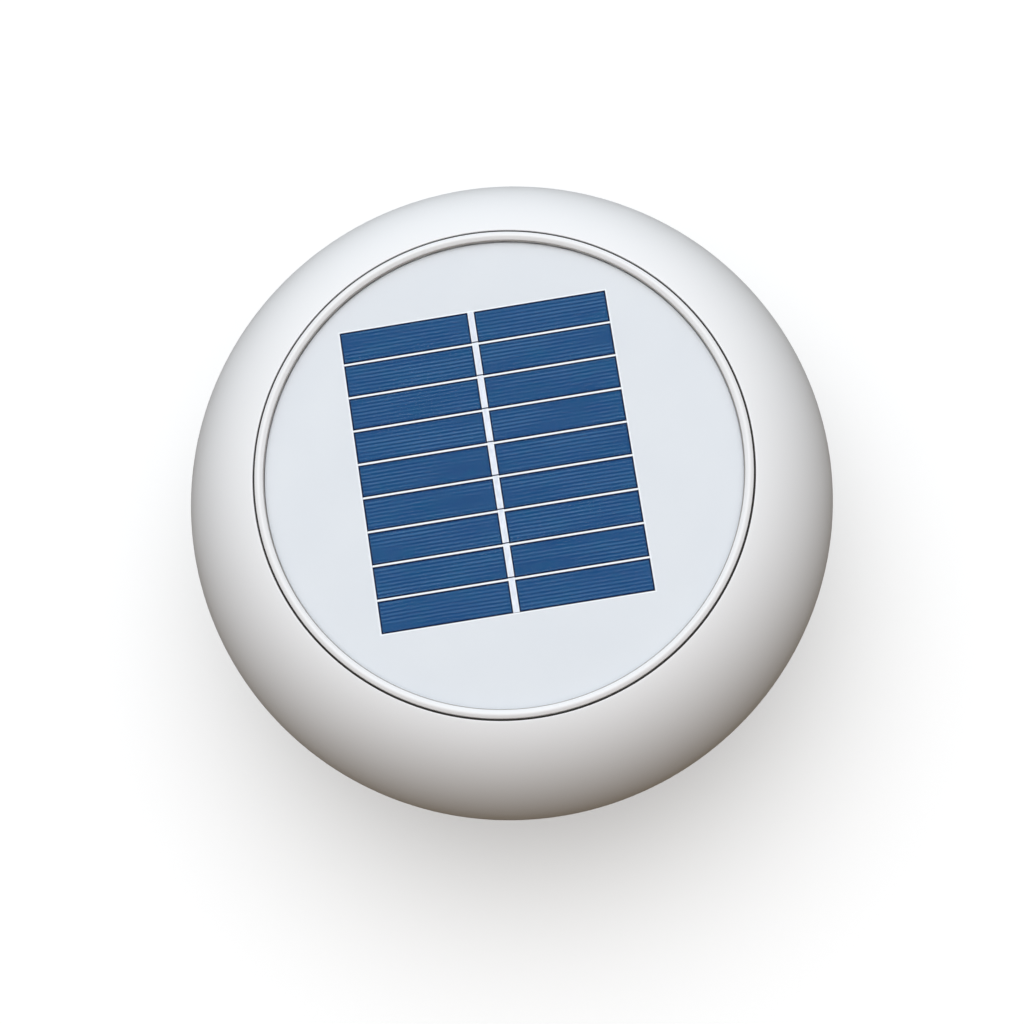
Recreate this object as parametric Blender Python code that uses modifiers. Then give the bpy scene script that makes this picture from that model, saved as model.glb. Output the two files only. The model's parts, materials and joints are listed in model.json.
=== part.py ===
"""Low-profile solar roof vent for an attic: a round dome with a solar module in its top, over a ducted fan.

The axis is +Z and the origin is the centre of the collar's lower end. The collar hangs through the roof,
the flange lies on the roof, and four pillars carry the dome. All sizes are in metres.
"""

from math import acos, asin, cos, pi, radians, sin, sqrt, tau

import bmesh
import bpy
from mathutils import Matrix, Vector

# ---------------------------------------------------------------------------- driving dimensions
GAP = 0.0003  # between two pieces that touch
OVERCUT = 0.0010  # how far a cutter or a joined foot runs past a face

# Dome, and where its widest circle and the seam round the solar module are
DOME_RADIUS = 0.1003
DOME_WALL = 0.0026
EQUATOR_Z = 0.0712
SEAM_Z = 0.1097
POCKET_RADIUS = 0.0752
CURVE_CENTRE_RADIUS = 0.0650
CURVE_WIDTH = DOME_RADIUS - CURVE_CENTRE_RADIUS
LOWER_CURVE_HEIGHT = 0.0353
# The upper side is a quarter ellipse that meets the seam at the pocket's radius
SEAM_SHARE = (POCKET_RADIUS - CURVE_CENTRE_RADIUS) / CURVE_WIDTH
UPPER_CURVE_HEIGHT = (SEAM_Z - EQUATOR_Z) / sqrt(1 - SEAM_SHARE**2)
LIP_Z = 0.0470
SEAM_ROUNDING = 0.0004
DECK_TOP = 0.0995
DECK_THICKNESS = 0.0024
DECK_BOTTOM = DECK_TOP - DECK_THICKNESS
DECK_HOLE_RADIUS = 0.0240

# Base: collar, flange and the raised duct wall
COLLAR_OUTER = 0.0560
COLLAR_INNER = 0.0530
FLANGE_RADIUS = 0.0900
FLANGE_Z = 0.0320
FLANGE_TOP = 0.0355
FLANGE_CHAMFER = 0.0012
DUCT_TOP = 0.0520
LEDGE_INNER = 0.0502
LEDGE_Z = 0.0207
LEDGE_TOP = 0.0235
GASKET_THICKNESS = 0.0027
ROOF_HOLE_CIRCLE = 0.0750
ROOF_HOLE_RADIUS = 0.0026
ROOF_HOLES = 6

# Ring of upright bars in the outlet gap
GUARD_OUTER = 0.0840
GUARD_WALL = 0.0020
GUARD_TOP = 0.0560
GUARD_FOOT_HEIGHT = 0.0018
GUARD_CROWN_HEIGHT = 0.0030
GUARD_SLOTS = 28
GUARD_SLOT_WIDTH = 0.0130

# Pillars and the screws that hold the dome on them
PILLAR_CIRCLE = 0.0640
PILLAR_RADIUS = 0.0045
PILLARS = 4
COVER_SCREW_RADIUS = 0.0015
COVER_SCREW_LENGTH = 0.0160
COVER_SCREW_HEAD = (0.0029, 0.0024)  # radius and height
PILLAR_PILOT_RADIUS = 0.0018
PILLAR_PILOT_DEPTH = 0.0180

# Solar module
TRAY_RADIUS = 0.0747
TRAY_RIM = 0.0025
TRAY_FLOOR_Z = 0.1033
TRAY_FLOOR_THICKNESS = 0.0017
TRAY_RIM_TOP = 0.1078
LENS_RADIUS = 0.0717
LENS_THICKNESS = 0.0008
LENS_TOP = 0.1096
BEZEL_INNER = 0.0720
BEZEL_TOP = 0.1110
BACKSHEET_THICKNESS = 0.0020
SEAL_THICKNESS = 0.0015
CELLS = 9
CELL_LENGTH = 0.0817
CELL_ARRAY_HEIGHT = 0.0937
CELL_SPACING = 0.0007
CELL_THICKNESS = 0.0004
ARRAY_CENTRE = (-0.0019, 0.0037)
RIBBON_WIDTH = 0.0019
RIBBON_THICKNESS = 0.0002

# Motor and its bracket
BRACKET_Z = DUCT_TOP + GAP
BRACKET_THICKNESS = 0.0030
BRACKET_RING_OUTER = 0.0570
BRACKET_ARMS = 3
EAR_CIRCLE = 0.0590
EAR_RADIUS = 0.0045
CUP_INNER = 0.0146
CUP_OUTER = 0.0170
CUP_HEIGHT = 0.0140
MOTOR_RADIUS = 0.0140
MOTOR_LENGTH = 0.0260
MOTOR_WALL = 0.0010
MOTOR_Z = BRACKET_Z + BRACKET_THICKNESS + GAP
MOTOR_TOP = MOTOR_Z + MOTOR_LENGTH
MOTOR_SCREW_X = TERMINAL_X = 0.0085
MOTOR_CAP_THICKNESS = 0.0027
BRACKET_SCREW = (0.0026, 0.0020, 0.0012, 0.0110)  # head radius, head height, shank radius, length
MOTOR_SCREW = (0.0021, 0.0014, 0.0010, 0.0065)
POST_PILOT_RADIUS = 0.0015
POST_PILOT_DEPTH = 0.0120
ARM_WIDTH = 0.0070
BRACKET_EYE_RADIUS = 0.0050
COMMUTATOR_RADIUS = 0.0036
SHAFT_RADIUS = 0.0015
SHAFT_END_Z = 0.0350
BUSH_OUTER = 0.0029

# Fan
FAN_RADIUS = 0.0500
FAN_HUB_RADIUS = 0.0130
FAN_HUB_WALL = 0.0018
FAN_HUB_CHAMFER = 0.0010
FAN_BOSS_RADIUS = 0.0068
FAN_BORE = 0.0043
FAN_HUB_TOP = 0.0485
FAN_HUB_BOTTOM = 0.0375
FAN_MIDDLE_Z = 0.0430
FAN_BLADES = 6
BLADE_THICKNESS = 0.0014
BLADE_ROOT_CHORD, BLADE_TIP_CHORD = 0.0140, 0.0260
BLADE_ROOT_PITCH, BLADE_TIP_PITCH = radians(38), radians(18)
BLADE_SWEEP = radians(14)
BLADE_CAMBER = 0.0012
BLADE_SUNK = 0.0011  # the blade's root inside the hub's wall

# Damper, at the collar's lower end
WINDOWS = 8
WINDOW_HALF_ANGLE = radians(10.5)
WINDOW_INNER = 0.0190
WINDOW_OUTER = 0.0478
SEAT_Z = 0.0115
SEAT_THICKNESS = 0.0020
SHUTTER_Z = 0.0092
SHUTTER_RADIUS = 0.0520
SEAT_RING_INNER = 0.0495
GRIP_SIZE = (0.0200, 0.0030, 0.0052)
GRIP_MIDDLE = 0.0370
HUB_OUTER = 0.0146
HUB_INNER = 0.0129
CAP_RADIUS = 0.0178
CAP_Z = 0.0065
CAP_THICKNESS = 0.0022
CAP_PLUG_INNER = 0.0108
CAP_PLUG_TOP = 0.0160

# Rocker switch, in the damper's hub, facing down
ROCKER_PIVOT_Z = 0.0072
ROCKER_TILT = radians(8)
ROCKER_LENGTH = 0.0108
ROCKER_WIDTH = 0.0066
ROCKER_PIN_RADIUS = 0.0007
SWITCH_BODY = (0.0132, 0.0088)
SWITCH_BODY_TOP = 0.0175
SWITCH_BEZEL = (0.0158, 0.0112, 0.0014)
SWITCH_POCKET = (0.0122, 0.0072, 0.0100)

# Battery and charge board, under the dome's deck
BATTERY_AXIS_Y = 0.0370
BATTERY_AXIS_Z = 0.0850
BATTERY_RADIUS = 0.0092
BATTERY_LENGTH = 0.0650
BATTERY_NUB = (0.0030, 0.0015)  # radius and height of its positive end
HOLDER_TOP = DECK_BOTTOM - GAP
HOLDER_BOTTOM = 0.0800
HOLDER_LENGTH = 0.0750
HOLDER_WIDTH = 0.0215
HOLLOW_LENGTH = 0.0712
EAR_DEPTH = 0.0030  # of the holder's two ears, from its top down
STAKE_X = 0.0220
PIN_RADIUS = 0.0014
PIN_HOLE_RADIUS = 0.0017
PIN_SHOULDER_RADIUS = 0.0027
PIN_END = 0.0012  # how far a pin stands out of what it holds
BOARD_CENTRE = (0.0, -0.0390)
BOARD_SIZE = (0.0520, 0.0260, 0.0016)
BOARD_Z = 0.0880
CONNECTOR_HEIGHT = 0.0062
CONNECTOR_Y = BOARD_CENTRE[1] + 0.0090
CONNECTOR_LOW = BOARD_Z - GAP - CONNECTOR_HEIGHT
CONNECTOR_MOUTHS = (-0.0090, -0.0030, 0.0030, 0.0090)
CAPACITOR_RADIUS = 0.0032
CAPACITOR_LENGTH = 0.0100

LEAD_RADIUS = 0.0008
LEAD_ANGLE = radians(225)  # the switch lead leaves the duct beside this pillar
LEAD_HOLE_Z = 0.0376
SCREEN_THICKNESS = 0.0025
SCREEN_TOP = LEDGE_TOP + GAP + SCREEN_THICKNESS
SCREEN_RINGS = (0.0055, 0.0200, 0.0340, 0.0475)
SCREEN_BAR = 0.0016
SCREEN_SPOKES = 6
SCREEN_EYE_RADIUS = 0.0030

COARSE, MEDIUM, FINE = 10, 20, 44  # sides of small, middling and large round pieces

# ---------------------------------------------------------------------------- scene and materials
for old in list(bpy.data.objects):
    bpy.data.objects.remove(old)

vent = bpy.data.collections.new("solar_attic_fan")
helpers = bpy.data.collections.new("cutters")
for collection in (vent, helpers):
    bpy.context.scene.collection.children.link(collection)


def material(name, colour, roughness, metallic=0.0, alpha=1.0):
    made = bpy.data.materials.new(name)
    made.use_nodes = True
    shader = made.node_tree.nodes["Principled BSDF"]
    shader.inputs["Base Color"].default_value = (*colour, 1.0)
    shader.inputs["Roughness"].default_value = roughness
    shader.inputs["Metallic"].default_value = metallic
    shader.inputs["Alpha"].default_value = alpha
    return made


WHITE_SHELL = material("white_shell", (0.80, 0.80, 0.79), 0.35)
WHITE_LAMINATE = material("white_laminate", (0.80, 0.83, 0.87), 0.30)
CLEAR = material("clear_lens", (0.95, 0.97, 1.00), 0.05, alpha=0.25)
CELL_BLUE = material("cell_blue", (0.03, 0.10, 0.27), 0.25)
TIN = material("tinned_copper", (0.80, 0.82, 0.84), 0.35, 1.0)
WHITE_BASE = material("white_base", (0.74, 0.74, 0.73), 0.45)
BLACK_PLASTIC = material("black_plastic", (0.03, 0.03, 0.03), 0.45)
GREY_FAN = material("grey_fan", (0.20, 0.21, 0.22), 0.45)
RUBBER = material("black_rubber", (0.03, 0.03, 0.03), 0.80)
STEEL = material("steel", (0.62, 0.62, 0.62), 0.30, 1.0)
BRASS = material("brass", (0.78, 0.57, 0.26), 0.30, 1.0)
MAGNET = material("ferrite", (0.09, 0.09, 0.09), 0.70)
COPPER = material("copper", (0.75, 0.36, 0.20), 0.30, 1.0)
BOARD_GREEN = material("board_green", (0.02, 0.16, 0.06), 0.40)
BATTERY_WRAP = material("battery_wrap", (0.05, 0.24, 0.42), 0.35)
LEAD_SHEATH = material("lead_sheath", (0.35, 0.02, 0.02), 0.50)


# ---------------------------------------------------------------------------- tools
def place(obj, paint=None, parent=None):
    """Puts an object in the vent, or among the cutters if it has no paint."""
    for owner in obj.users_collection:
        owner.objects.unlink(obj)
    if paint is None:
        helpers.objects.link(obj)
        obj.hide_render = True
        obj.display_type = "WIRE"
        return obj
    vent.objects.link(obj)
    obj.data.materials.clear()
    obj.data.materials.append(paint)
    if parent is not None:
        obj.parent = parent
        obj.matrix_parent_inverse = parent.matrix_world.inverted()
    return obj


def smooth(obj):
    obj.data.shade_smooth()
    obj.data.set_sharp_from_angle(angle=radians(30))
    return obj


def turned(name, profile, sides, paint=None, parent=None, at=(0, 0, 0), closed=True):
    """A profile of (radius, z) turned about Z. Its outer side runs from top to bottom."""
    mesh = bpy.data.meshes.new(name)
    edges = [(i, i + 1) for i in range(len(profile) - 1)]
    if closed:
        edges.append((len(profile) - 1, 0))
    mesh.from_pydata([(r, 0, z) for r, z in profile], edges, [])
    obj = bpy.data.objects.new(name, mesh)
    obj.location = at
    screw = obj.modifiers.new("turn", "SCREW")
    screw.axis = "Z"
    screw.angle = tau
    screw.steps = screw.render_steps = sides
    screw.use_merge_vertices = True
    screw.merge_threshold = 0.00001
    screw.use_smooth_shade = False
    return place(obj, paint, parent)


def tube_profile(inner, outer, low, high):
    return [(inner, high), (outer, high), (outer, low), (inner, low)]


def tube(name, inner, outer, low, high, sides, paint=None, parent=None, at=(0, 0, 0)):
    """A round tube on Z between two heights."""
    return turned(name, tube_profile(inner, outer, low, high), sides, paint, parent, at)


def rod(name, radius, low, high, sides, paint=None, parent=None, at=(0, 0)):
    """A round solid rod on Z between two heights."""
    bpy.ops.mesh.primitive_cylinder_add(
        vertices=sides, radius=radius, depth=high - low, location=(*at, (low + high) / 2)
    )
    obj = bpy.context.object
    obj.name = obj.data.name = name
    return place(obj, paint, parent)


def box(name, size, centre, paint=None, parent=None, turn=0.0):
    """A box of that size, turned about Z round the world's axis after it is placed."""
    bpy.ops.mesh.primitive_cube_add(size=1)
    obj = bpy.context.object
    obj.name = obj.data.name = name
    where = Matrix.Rotation(turn, 4, "Z") @ Matrix.Translation(centre)
    obj.data.transform(where @ Matrix.Diagonal((*size, 1)))
    return place(obj, paint, parent)


def as_mesh(curve_object, name):
    """The curve as a welded mesh object with the same place, and the curve is removed."""
    bpy.context.view_layer.update()
    graph = bpy.context.evaluated_depsgraph_get()
    mesh = bpy.data.meshes.new_from_object(curve_object.evaluated_get(graph))
    work = bmesh.new()
    work.from_mesh(mesh)
    bmesh.ops.remove_doubles(work, verts=work.verts, dist=0.000001)
    bmesh.ops.recalc_face_normals(work, faces=work.faces)
    work.to_mesh(mesh)
    work.free()
    obj = bpy.data.objects.new(name, mesh)
    obj.matrix_world = curve_object.matrix_world
    bpy.data.objects.remove(curve_object)
    return obj


def plate(name, outlines, low, high, paint=None, parent=None):
    """A flat plate with these closed outlines of (x, y); an outline inside another is a hole."""
    curve = bpy.data.curves.new(name, "CURVE")
    curve.dimensions = "2D"
    curve.fill_mode = "BOTH"
    curve.extrude = (high - low) / 2
    for outline in outlines:
        spline = curve.splines.new("POLY")
        spline.points.add(len(outline) - 1)
        for point, (x, y) in zip(spline.points, outline):
            point.co = (x, y, 0, 1)
        spline.use_cyclic_u = True
    flat = bpy.data.objects.new(name + "_outline", curve)
    flat.location.z = (low + high) / 2
    helpers.objects.link(flat)
    return place(as_mesh(flat, name), paint, parent)


def boolean(obj, other, operation):
    step = obj.modifiers.new(operation.lower() + "_" + other.name, "BOOLEAN")
    step.operation = operation
    step.solver = "EXACT"
    step.object = other
    return obj


def cut(obj, *cutters):
    for cutter in cutters:
        boolean(obj, cutter, "DIFFERENCE")
    return obj


def join(obj, *others):
    for other in others:
        boolean(obj, other, "UNION")
    return obj


def rods(name, radius, low, high, sides, places):
    """A helper of several upright rods, to cut or join in one step."""
    mesh = bpy.data.meshes.new(name)
    work = bmesh.new()
    for x, y in places:
        bmesh.ops.create_cone(
            work,
            cap_ends=True,
            segments=sides,
            radius1=radius,
            radius2=radius,
            depth=high - low,
            matrix=Matrix.Translation((x, y, (low + high) / 2)),
        )
    work.to_mesh(mesh)
    work.free()
    return place(bpy.data.objects.new(name, mesh))


def boxes(name, size, centre, turns):
    """A helper of several boxes, each turned about the axis."""
    mesh = bpy.data.meshes.new(name)
    work = bmesh.new()
    for turn in turns:
        where = Matrix.Rotation(turn, 4, "Z") @ Matrix.Translation(centre)
        bmesh.ops.create_cube(work, size=1, matrix=where @ Matrix.Diagonal((*size, 1)))
    work.to_mesh(mesh)
    work.free()
    return place(bpy.data.objects.new(name, mesh))


def around(count, start=0.0):
    """Angles of a ring of equal parts."""
    return [start + tau * k / count for k in range(count)]


def circle_points(radius, angles):
    return [(radius * cos(a), radius * sin(a)) for a in angles]


def sector(inner, outer, middle, half, steps=3):
    """The outline of a piece of a ring, between two radii."""
    turns = [half * (2 * k / steps - 1) for k in range(steps + 1)]
    far = circle_points(outer, [middle + t for t in turns])
    near = circle_points(inner, [middle - t for t in turns])
    return far + near


def empty(name, at):
    marker = bpy.data.objects.new(name, None)
    marker.location = at
    marker.empty_display_size = 0.01
    vent.objects.link(marker)
    bpy.context.view_layer.update()
    return marker


def smooth_route(points, spacing):
    """Points at that spacing along a smooth curve through the given ones."""
    knots = [Vector(p) for p in points]
    knots = [2 * knots[0] - knots[1], *knots, 2 * knots[-1] - knots[-2]]
    fine = []
    for a, b, c, d in zip(knots, knots[1:], knots[2:], knots[3:]):
        for k in range(24):
            t = k / 24
            fine.append(
                0.5 * (2 * b + (c - a) * t + (2 * a - 5 * b + 4 * c - d) * t**2
                       + (3 * b - a - 3 * c + d) * t**3)
            )
    fine.append(knots[-2])
    lengths = [0.0]
    for a, b in zip(fine, fine[1:]):
        lengths.append(lengths[-1] + (b - a).length)
    count = max(2, round(lengths[-1] / spacing))
    route, k = [], 0
    for step in range(count + 1):
        target = lengths[-1] * step / count
        while k < len(fine) - 2 and lengths[k + 1] < target:
            k += 1
        share = (target - lengths[k]) / (lengths[k + 1] - lengths[k])
        route.append(fine[k].lerp(fine[k + 1], min(1.0, share)))
    return route


def wire(name, points, radius, paint, resolution=2):
    """A round wire through these points."""
    curve = bpy.data.curves.new(name, "CURVE")
    curve.dimensions = "3D"
    curve.bevel_depth = radius
    curve.bevel_resolution = resolution
    curve.use_fill_caps = True
    spline = curve.splines.new("POLY")
    spline.points.add(len(points) - 1)
    for point, co in zip(spline.points, points):
        point.co = (*co, 1)
    return place(bpy.data.objects.new(name, curve), paint)


def screw(name, head_radius, head_height, shank_radius, length, at, paint, facing=1):
    """A pan-head screw with a slot. Its head's seat is at the given point, and facing 1 puts the head up."""
    head = head_height * facing
    edge = 0.7 * head
    shank = -length * facing
    profile = [
        (0, head),
        (0.7 * head_radius, head),
        (head_radius, edge),
        (head_radius, 0),
        (shank_radius, 0),
        (shank_radius, 0.85 * shank),
        (0, shank),
    ]
    if facing < 0:
        profile.reverse()
    obj = turned(name, profile, COARSE, paint, at=at, closed=False)
    middle = (at[0], at[1], at[2] + 1.1 * head)
    return cut(obj, box(name + "_slot", (1.2 * head_radius, 0.25 * head_radius, head_height), middle))


# ---------------------------------------------------------------------------- dome
def side_curve(offset, start_radius, end_z, steps):
    """Points down the dome's side, from a radius near the top to a height under the equator, set in by offset."""
    width = CURVE_WIDTH - offset
    upper = UPPER_CURVE_HEIGHT - offset
    lower = LOWER_CURVE_HEIGHT - offset
    first = acos((start_radius - CURVE_CENTRE_RADIUS) / width)
    last = -asin((EQUATOR_Z - end_z) / lower)
    points = []
    for k in range(steps + 1):
        angle = first + (last - first) * k / steps
        height = upper if angle > 0 else lower
        points.append(
            (CURVE_CENTRE_RADIUS + width * cos(angle), EQUATOR_Z + height * sin(angle))
        )
    return points


def dome():
    wall_radius = POCKET_RADIUS + DOME_WALL
    outside = side_curve(0, POCKET_RADIUS + SEAM_ROUNDING, LIP_Z, 10)
    inside = side_curve(DOME_WALL, wall_radius, LIP_Z, 5)
    profile = [
        (DECK_HOLE_RADIUS, DECK_TOP),
        (POCKET_RADIUS, DECK_TOP),
        (POCKET_RADIUS, SEAM_Z - SEAM_ROUNDING),
        *outside,
        *reversed(inside),
        (wall_radius, DECK_BOTTOM),
        (DECK_HOLE_RADIUS, DECK_BOTTOM),
    ]
    shell = turned("dome_shell", profile, FINE, WHITE_SHELL)
    pillars = circle_points(PILLAR_CIRCLE, around(PILLARS, pi / 4))
    holes = rods(
        "dome_screw_holes", COVER_SCREW_RADIUS + GAP, DECK_BOTTOM - OVERCUT, DECK_TOP + OVERCUT, COARSE, pillars
    )
    # Pins under the deck carry the charge board, on shoulders, and the battery holder
    sunk = DECK_BOTTOM + OVERCUT
    board_top = BOARD_Z + BOARD_SIZE[2] + GAP
    join(
        shell,
        rods("board_shoulders", PIN_SHOULDER_RADIUS, board_top, sunk, 12, board_stakes()),
        rods("board_pins", PIN_RADIUS, BOARD_Z - PIN_END, sunk, 12, board_stakes()),
        rods("holder_pins", PIN_RADIUS, HOLDER_TOP - EAR_DEPTH - PIN_END, sunk, 12, holder_stakes()),
    )
    cut(shell, holes)
    for k, (x, y) in enumerate(pillars, 1):
        screw(
            f"cover_screw_{k}", *COVER_SCREW_HEAD, COVER_SCREW_RADIUS, COVER_SCREW_LENGTH,
            (x, y, DECK_TOP + GAP), STEEL,
        )


# ---------------------------------------------------------------------------- battery and charge board
def board_stakes():
    return [(-STAKE_X, BOARD_CENTRE[1]), (STAKE_X, BOARD_CENTRE[1])]


def holder_stakes():
    y = BATTERY_AXIS_Y - HOLDER_WIDTH / 2 - 0.0022
    return [(-STAKE_X, y), (STAKE_X, y)]


def along_x(obj, at):
    """Lays a piece that was made along Z down along X."""
    obj.rotation_euler.y = pi / 2
    obj.location = at
    return obj


def battery():
    axis = (BATTERY_AXIS_Y, BATTERY_AXIS_Z)
    holder = box(
        "battery_holder",
        (HOLDER_LENGTH, HOLDER_WIDTH, HOLDER_TOP - HOLDER_BOTTOM),
        (0, BATTERY_AXIS_Y, (HOLDER_TOP + HOLDER_BOTTOM) / 2),
        BLACK_PLASTIC,
    )
    hollow = rod("holder_hollow", BATTERY_RADIUS + GAP, -HOLLOW_LENGTH / 2, HOLLOW_LENGTH / 2, 24)
    ears = [
        box(f"holder_ear_{k}", (0.0070, 0.0060, EAR_DEPTH - 0.0005), (x, y, HOLDER_TOP - EAR_DEPTH / 2))
        for k, (x, y) in enumerate(holder_stakes())
    ]
    join(holder, *ears)
    cut(
        holder,
        along_x(hollow, (0, *axis)),
        rods("holder_ear_holes", PIN_HOLE_RADIUS, HOLDER_TOP - 0.006, HOLDER_TOP + 0.002, 12, holder_stakes()),
    )

    nub_radius, nub = BATTERY_NUB
    end = BATTERY_LENGTH / 2
    chamfer = 0.0006
    cell = turned(
        "battery_cell",
        [
            (0, end + nub),
            (nub_radius, end + nub),
            (nub_radius, end),
            (BATTERY_RADIUS - chamfer, end),
            (BATTERY_RADIUS, end - chamfer),
            (BATTERY_RADIUS, -end),
            (0, -end),
        ],
        24,
        BATTERY_WRAP,
        closed=False,
    )
    contact_x = HOLLOW_LENGTH / 2 - GAP - 0.0002
    along_x(cell, (contact_x - 0.0002 - GAP - nub - end, *axis))
    box("battery_contact", (0.0004, 0.0110, 0.0100), (contact_x, *axis), STEEL)
    turns, radius, length, wire_radius = 2.5, 0.0042, 0.0024, 0.0003
    start_x = -HOLLOW_LENGTH / 2 + GAP + wire_radius
    steps = round(turns * 12)
    coil = [
        (
            start_x + length * k / steps,
            BATTERY_AXIS_Y + radius * cos(tau * turns * k / steps),
            BATTERY_AXIS_Z + radius * sin(tau * turns * k / steps),
        )
        for k in range(steps + 1)
    ]
    wire("battery_spring", coil, wire_radius, STEEL, 1)


def charge_board():
    x, y = BOARD_CENTRE
    board = box("charge_board", BOARD_SIZE, (x, y, BOARD_Z + BOARD_SIZE[2] / 2), BOARD_GREEN)
    cut(board, rods("board_holes", PIN_HOLE_RADIUS, BOARD_Z - 0.001, BOARD_Z + 0.004, 12, board_stakes()))
    under = BOARD_Z - GAP
    rod(
        "board_capacitor", CAPACITOR_RADIUS, under - CAPACITOR_LENGTH, under, COARSE, BLACK_PLASTIC,
        at=(x - 0.0140, y - 0.0050),
    )
    connector = box(
        "board_connector", (0.0260, 0.0058, CONNECTOR_HEIGHT), (x, CONNECTOR_Y, (under + CONNECTOR_LOW) / 2),
        WHITE_BASE,
    )
    mouths = [
        box(f"connector_mouth_{k}", (0.0060, 0.0038, 0.0084), (mouth_x, CONNECTOR_Y, CONNECTOR_LOW))
        for k, mouth_x in enumerate(CONNECTOR_MOUTHS)
    ]
    cut(connector, *mouths)


# ---------------------------------------------------------------------------- solar module
def solar_module():
    floor_top = TRAY_FLOOR_Z + TRAY_FLOOR_THICKNESS
    seal_top = DECK_TOP + GAP + SEAL_THICKNESS
    rim_inner = TRAY_RADIUS - TRAY_RIM
    turned(
        "module_tray",
        [
            (rim_inner, TRAY_RIM_TOP),
            (TRAY_RADIUS, TRAY_RIM_TOP),
            (TRAY_RADIUS, seal_top + GAP),
            (rim_inner, seal_top + GAP),
            (rim_inner, TRAY_FLOOR_Z),
            (0.0040, TRAY_FLOOR_Z),
            (0.0040, floor_top),
            (rim_inner, floor_top),
        ],
        FINE,
        WHITE_LAMINATE,
    )
    tube("module_seal", rim_inner, TRAY_RADIUS, DECK_TOP + GAP, seal_top, FINE, RUBBER)
    # The bezel is a rounded bead with a flat foot
    foot = TRAY_RIM_TOP + GAP
    half = (TRAY_RADIUS - BEZEL_INNER) / 2
    shoulder = SEAM_Z - 0.0003
    arc = [pi * (1 - k / 5) for k in range(6)]
    bead = [(BEZEL_INNER + half + half * cos(a), shoulder + (BEZEL_TOP - shoulder) * sin(a)) for a in arc]
    turned("bezel_ring", [*bead, (TRAY_RADIUS, foot), (BEZEL_INNER, foot)], FINE, WHITE_SHELL)

    backsheet_top = floor_top + GAP + BACKSHEET_THICKNESS
    rod("backsheet", LENS_RADIUS, floor_top + GAP, backsheet_top, FINE, WHITE_LAMINATE)
    pitch = (CELL_ARRAY_HEIGHT + CELL_SPACING) / CELLS
    cell_z = backsheet_top + GAP + CELL_THICKNESS / 2
    for k in range(CELLS):
        y = ARRAY_CENTRE[1] + pitch * ((CELLS - 1) / 2 - k)
        size = (CELL_LENGTH, pitch - CELL_SPACING, CELL_THICKNESS)
        box(f"solar_cell_{k + 1}", size, (ARRAY_CENTRE[0], y, cell_z), CELL_BLUE)
    ribbon_z = cell_z + CELL_THICKNESS / 2 + GAP + RIBBON_THICKNESS / 2
    box("busbar_ribbon", (RIBBON_WIDTH, CELL_ARRAY_HEIGHT, RIBBON_THICKNESS), (*ARRAY_CENTRE, ribbon_z), TIN)
    rod("window_lens", LENS_RADIUS, LENS_TOP - LENS_THICKNESS, LENS_TOP, FINE, CLEAR)


# ---------------------------------------------------------------------------- base
def base():
    flange = turned(
        "base_flange",
        [
            (COLLAR_INNER, DUCT_TOP),
            (COLLAR_OUTER, DUCT_TOP),
            (COLLAR_OUTER, FLANGE_TOP),
            (FLANGE_RADIUS - FLANGE_CHAMFER, FLANGE_TOP),
            (FLANGE_RADIUS, FLANGE_TOP - FLANGE_CHAMFER),
            (FLANGE_RADIUS, FLANGE_Z),
            (COLLAR_OUTER, FLANGE_Z),
            (COLLAR_OUTER, 0),
            (COLLAR_INNER, 0),
            (COLLAR_INNER, LEDGE_Z),
            (LEDGE_INNER, LEDGE_Z),
            (LEDGE_INNER, LEDGE_TOP),
            (COLLAR_INNER, LEDGE_TOP),
        ],
        FINE,
        WHITE_BASE,
    )
    cut(flange, lead_hole())
    sunk = FLANGE_TOP - OVERCUT
    pillar_places = circle_points(PILLAR_CIRCLE, around(PILLARS, pi / 4))
    post_places = circle_points(EAR_CIRCLE, around(BRACKET_ARMS))
    pillar_top = DECK_BOTTOM - GAP
    join(
        flange,
        rods("pillar_bodies", PILLAR_RADIUS, sunk, pillar_top, COARSE, pillar_places),
        rods("bracket_posts", EAR_RADIUS - 0.0003, sunk, DUCT_TOP - 0.0002, 14, post_places),
    )
    roof_places = circle_points(ROOF_HOLE_CIRCLE, around(ROOF_HOLES, pi / ROOF_HOLES))
    hole_top = FLANGE_TOP + OVERCUT
    cut(
        flange,
        rods(
            "pillar_pilots", PILLAR_PILOT_RADIUS, pillar_top - PILLAR_PILOT_DEPTH, pillar_top + OVERCUT, 10,
            pillar_places,
        ),
        rods("post_pilots", POST_PILOT_RADIUS, DUCT_TOP - POST_PILOT_DEPTH, DUCT_TOP + OVERCUT, 10, post_places),
        rods("flange_roof_holes", ROOF_HOLE_RADIUS, FLANGE_Z - OVERCUT, hole_top, COARSE, roof_places),
    )
    gasket_top = FLANGE_Z - GAP
    gasket = tube(
        "roof_gasket", COLLAR_OUTER + GAP, FLANGE_RADIUS - 0.002,
        gasket_top - GASKET_THICKNESS, gasket_top, FINE, RUBBER,
    )
    hole_low = FLANGE_Z - 2 * GASKET_THICKNESS
    cut(gasket, rods("gasket_holes", ROOF_HOLE_RADIUS, hole_low, hole_top, COARSE, roof_places))


def lead_hole():
    """A cutter across the duct wall, where the switch lead leaves the duct."""
    middle = (COLLAR_OUTER + COLLAR_INNER) / 2
    hole = rod("lead_hole", 2 * LEAD_RADIUS, -0.0041, 0.0039, 10)
    hole.rotation_euler = (0, pi / 2, LEAD_ANGLE)
    hole.location = (middle * cos(LEAD_ANGLE), middle * sin(LEAD_ANGLE), LEAD_HOLE_Z)
    return hole


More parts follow.
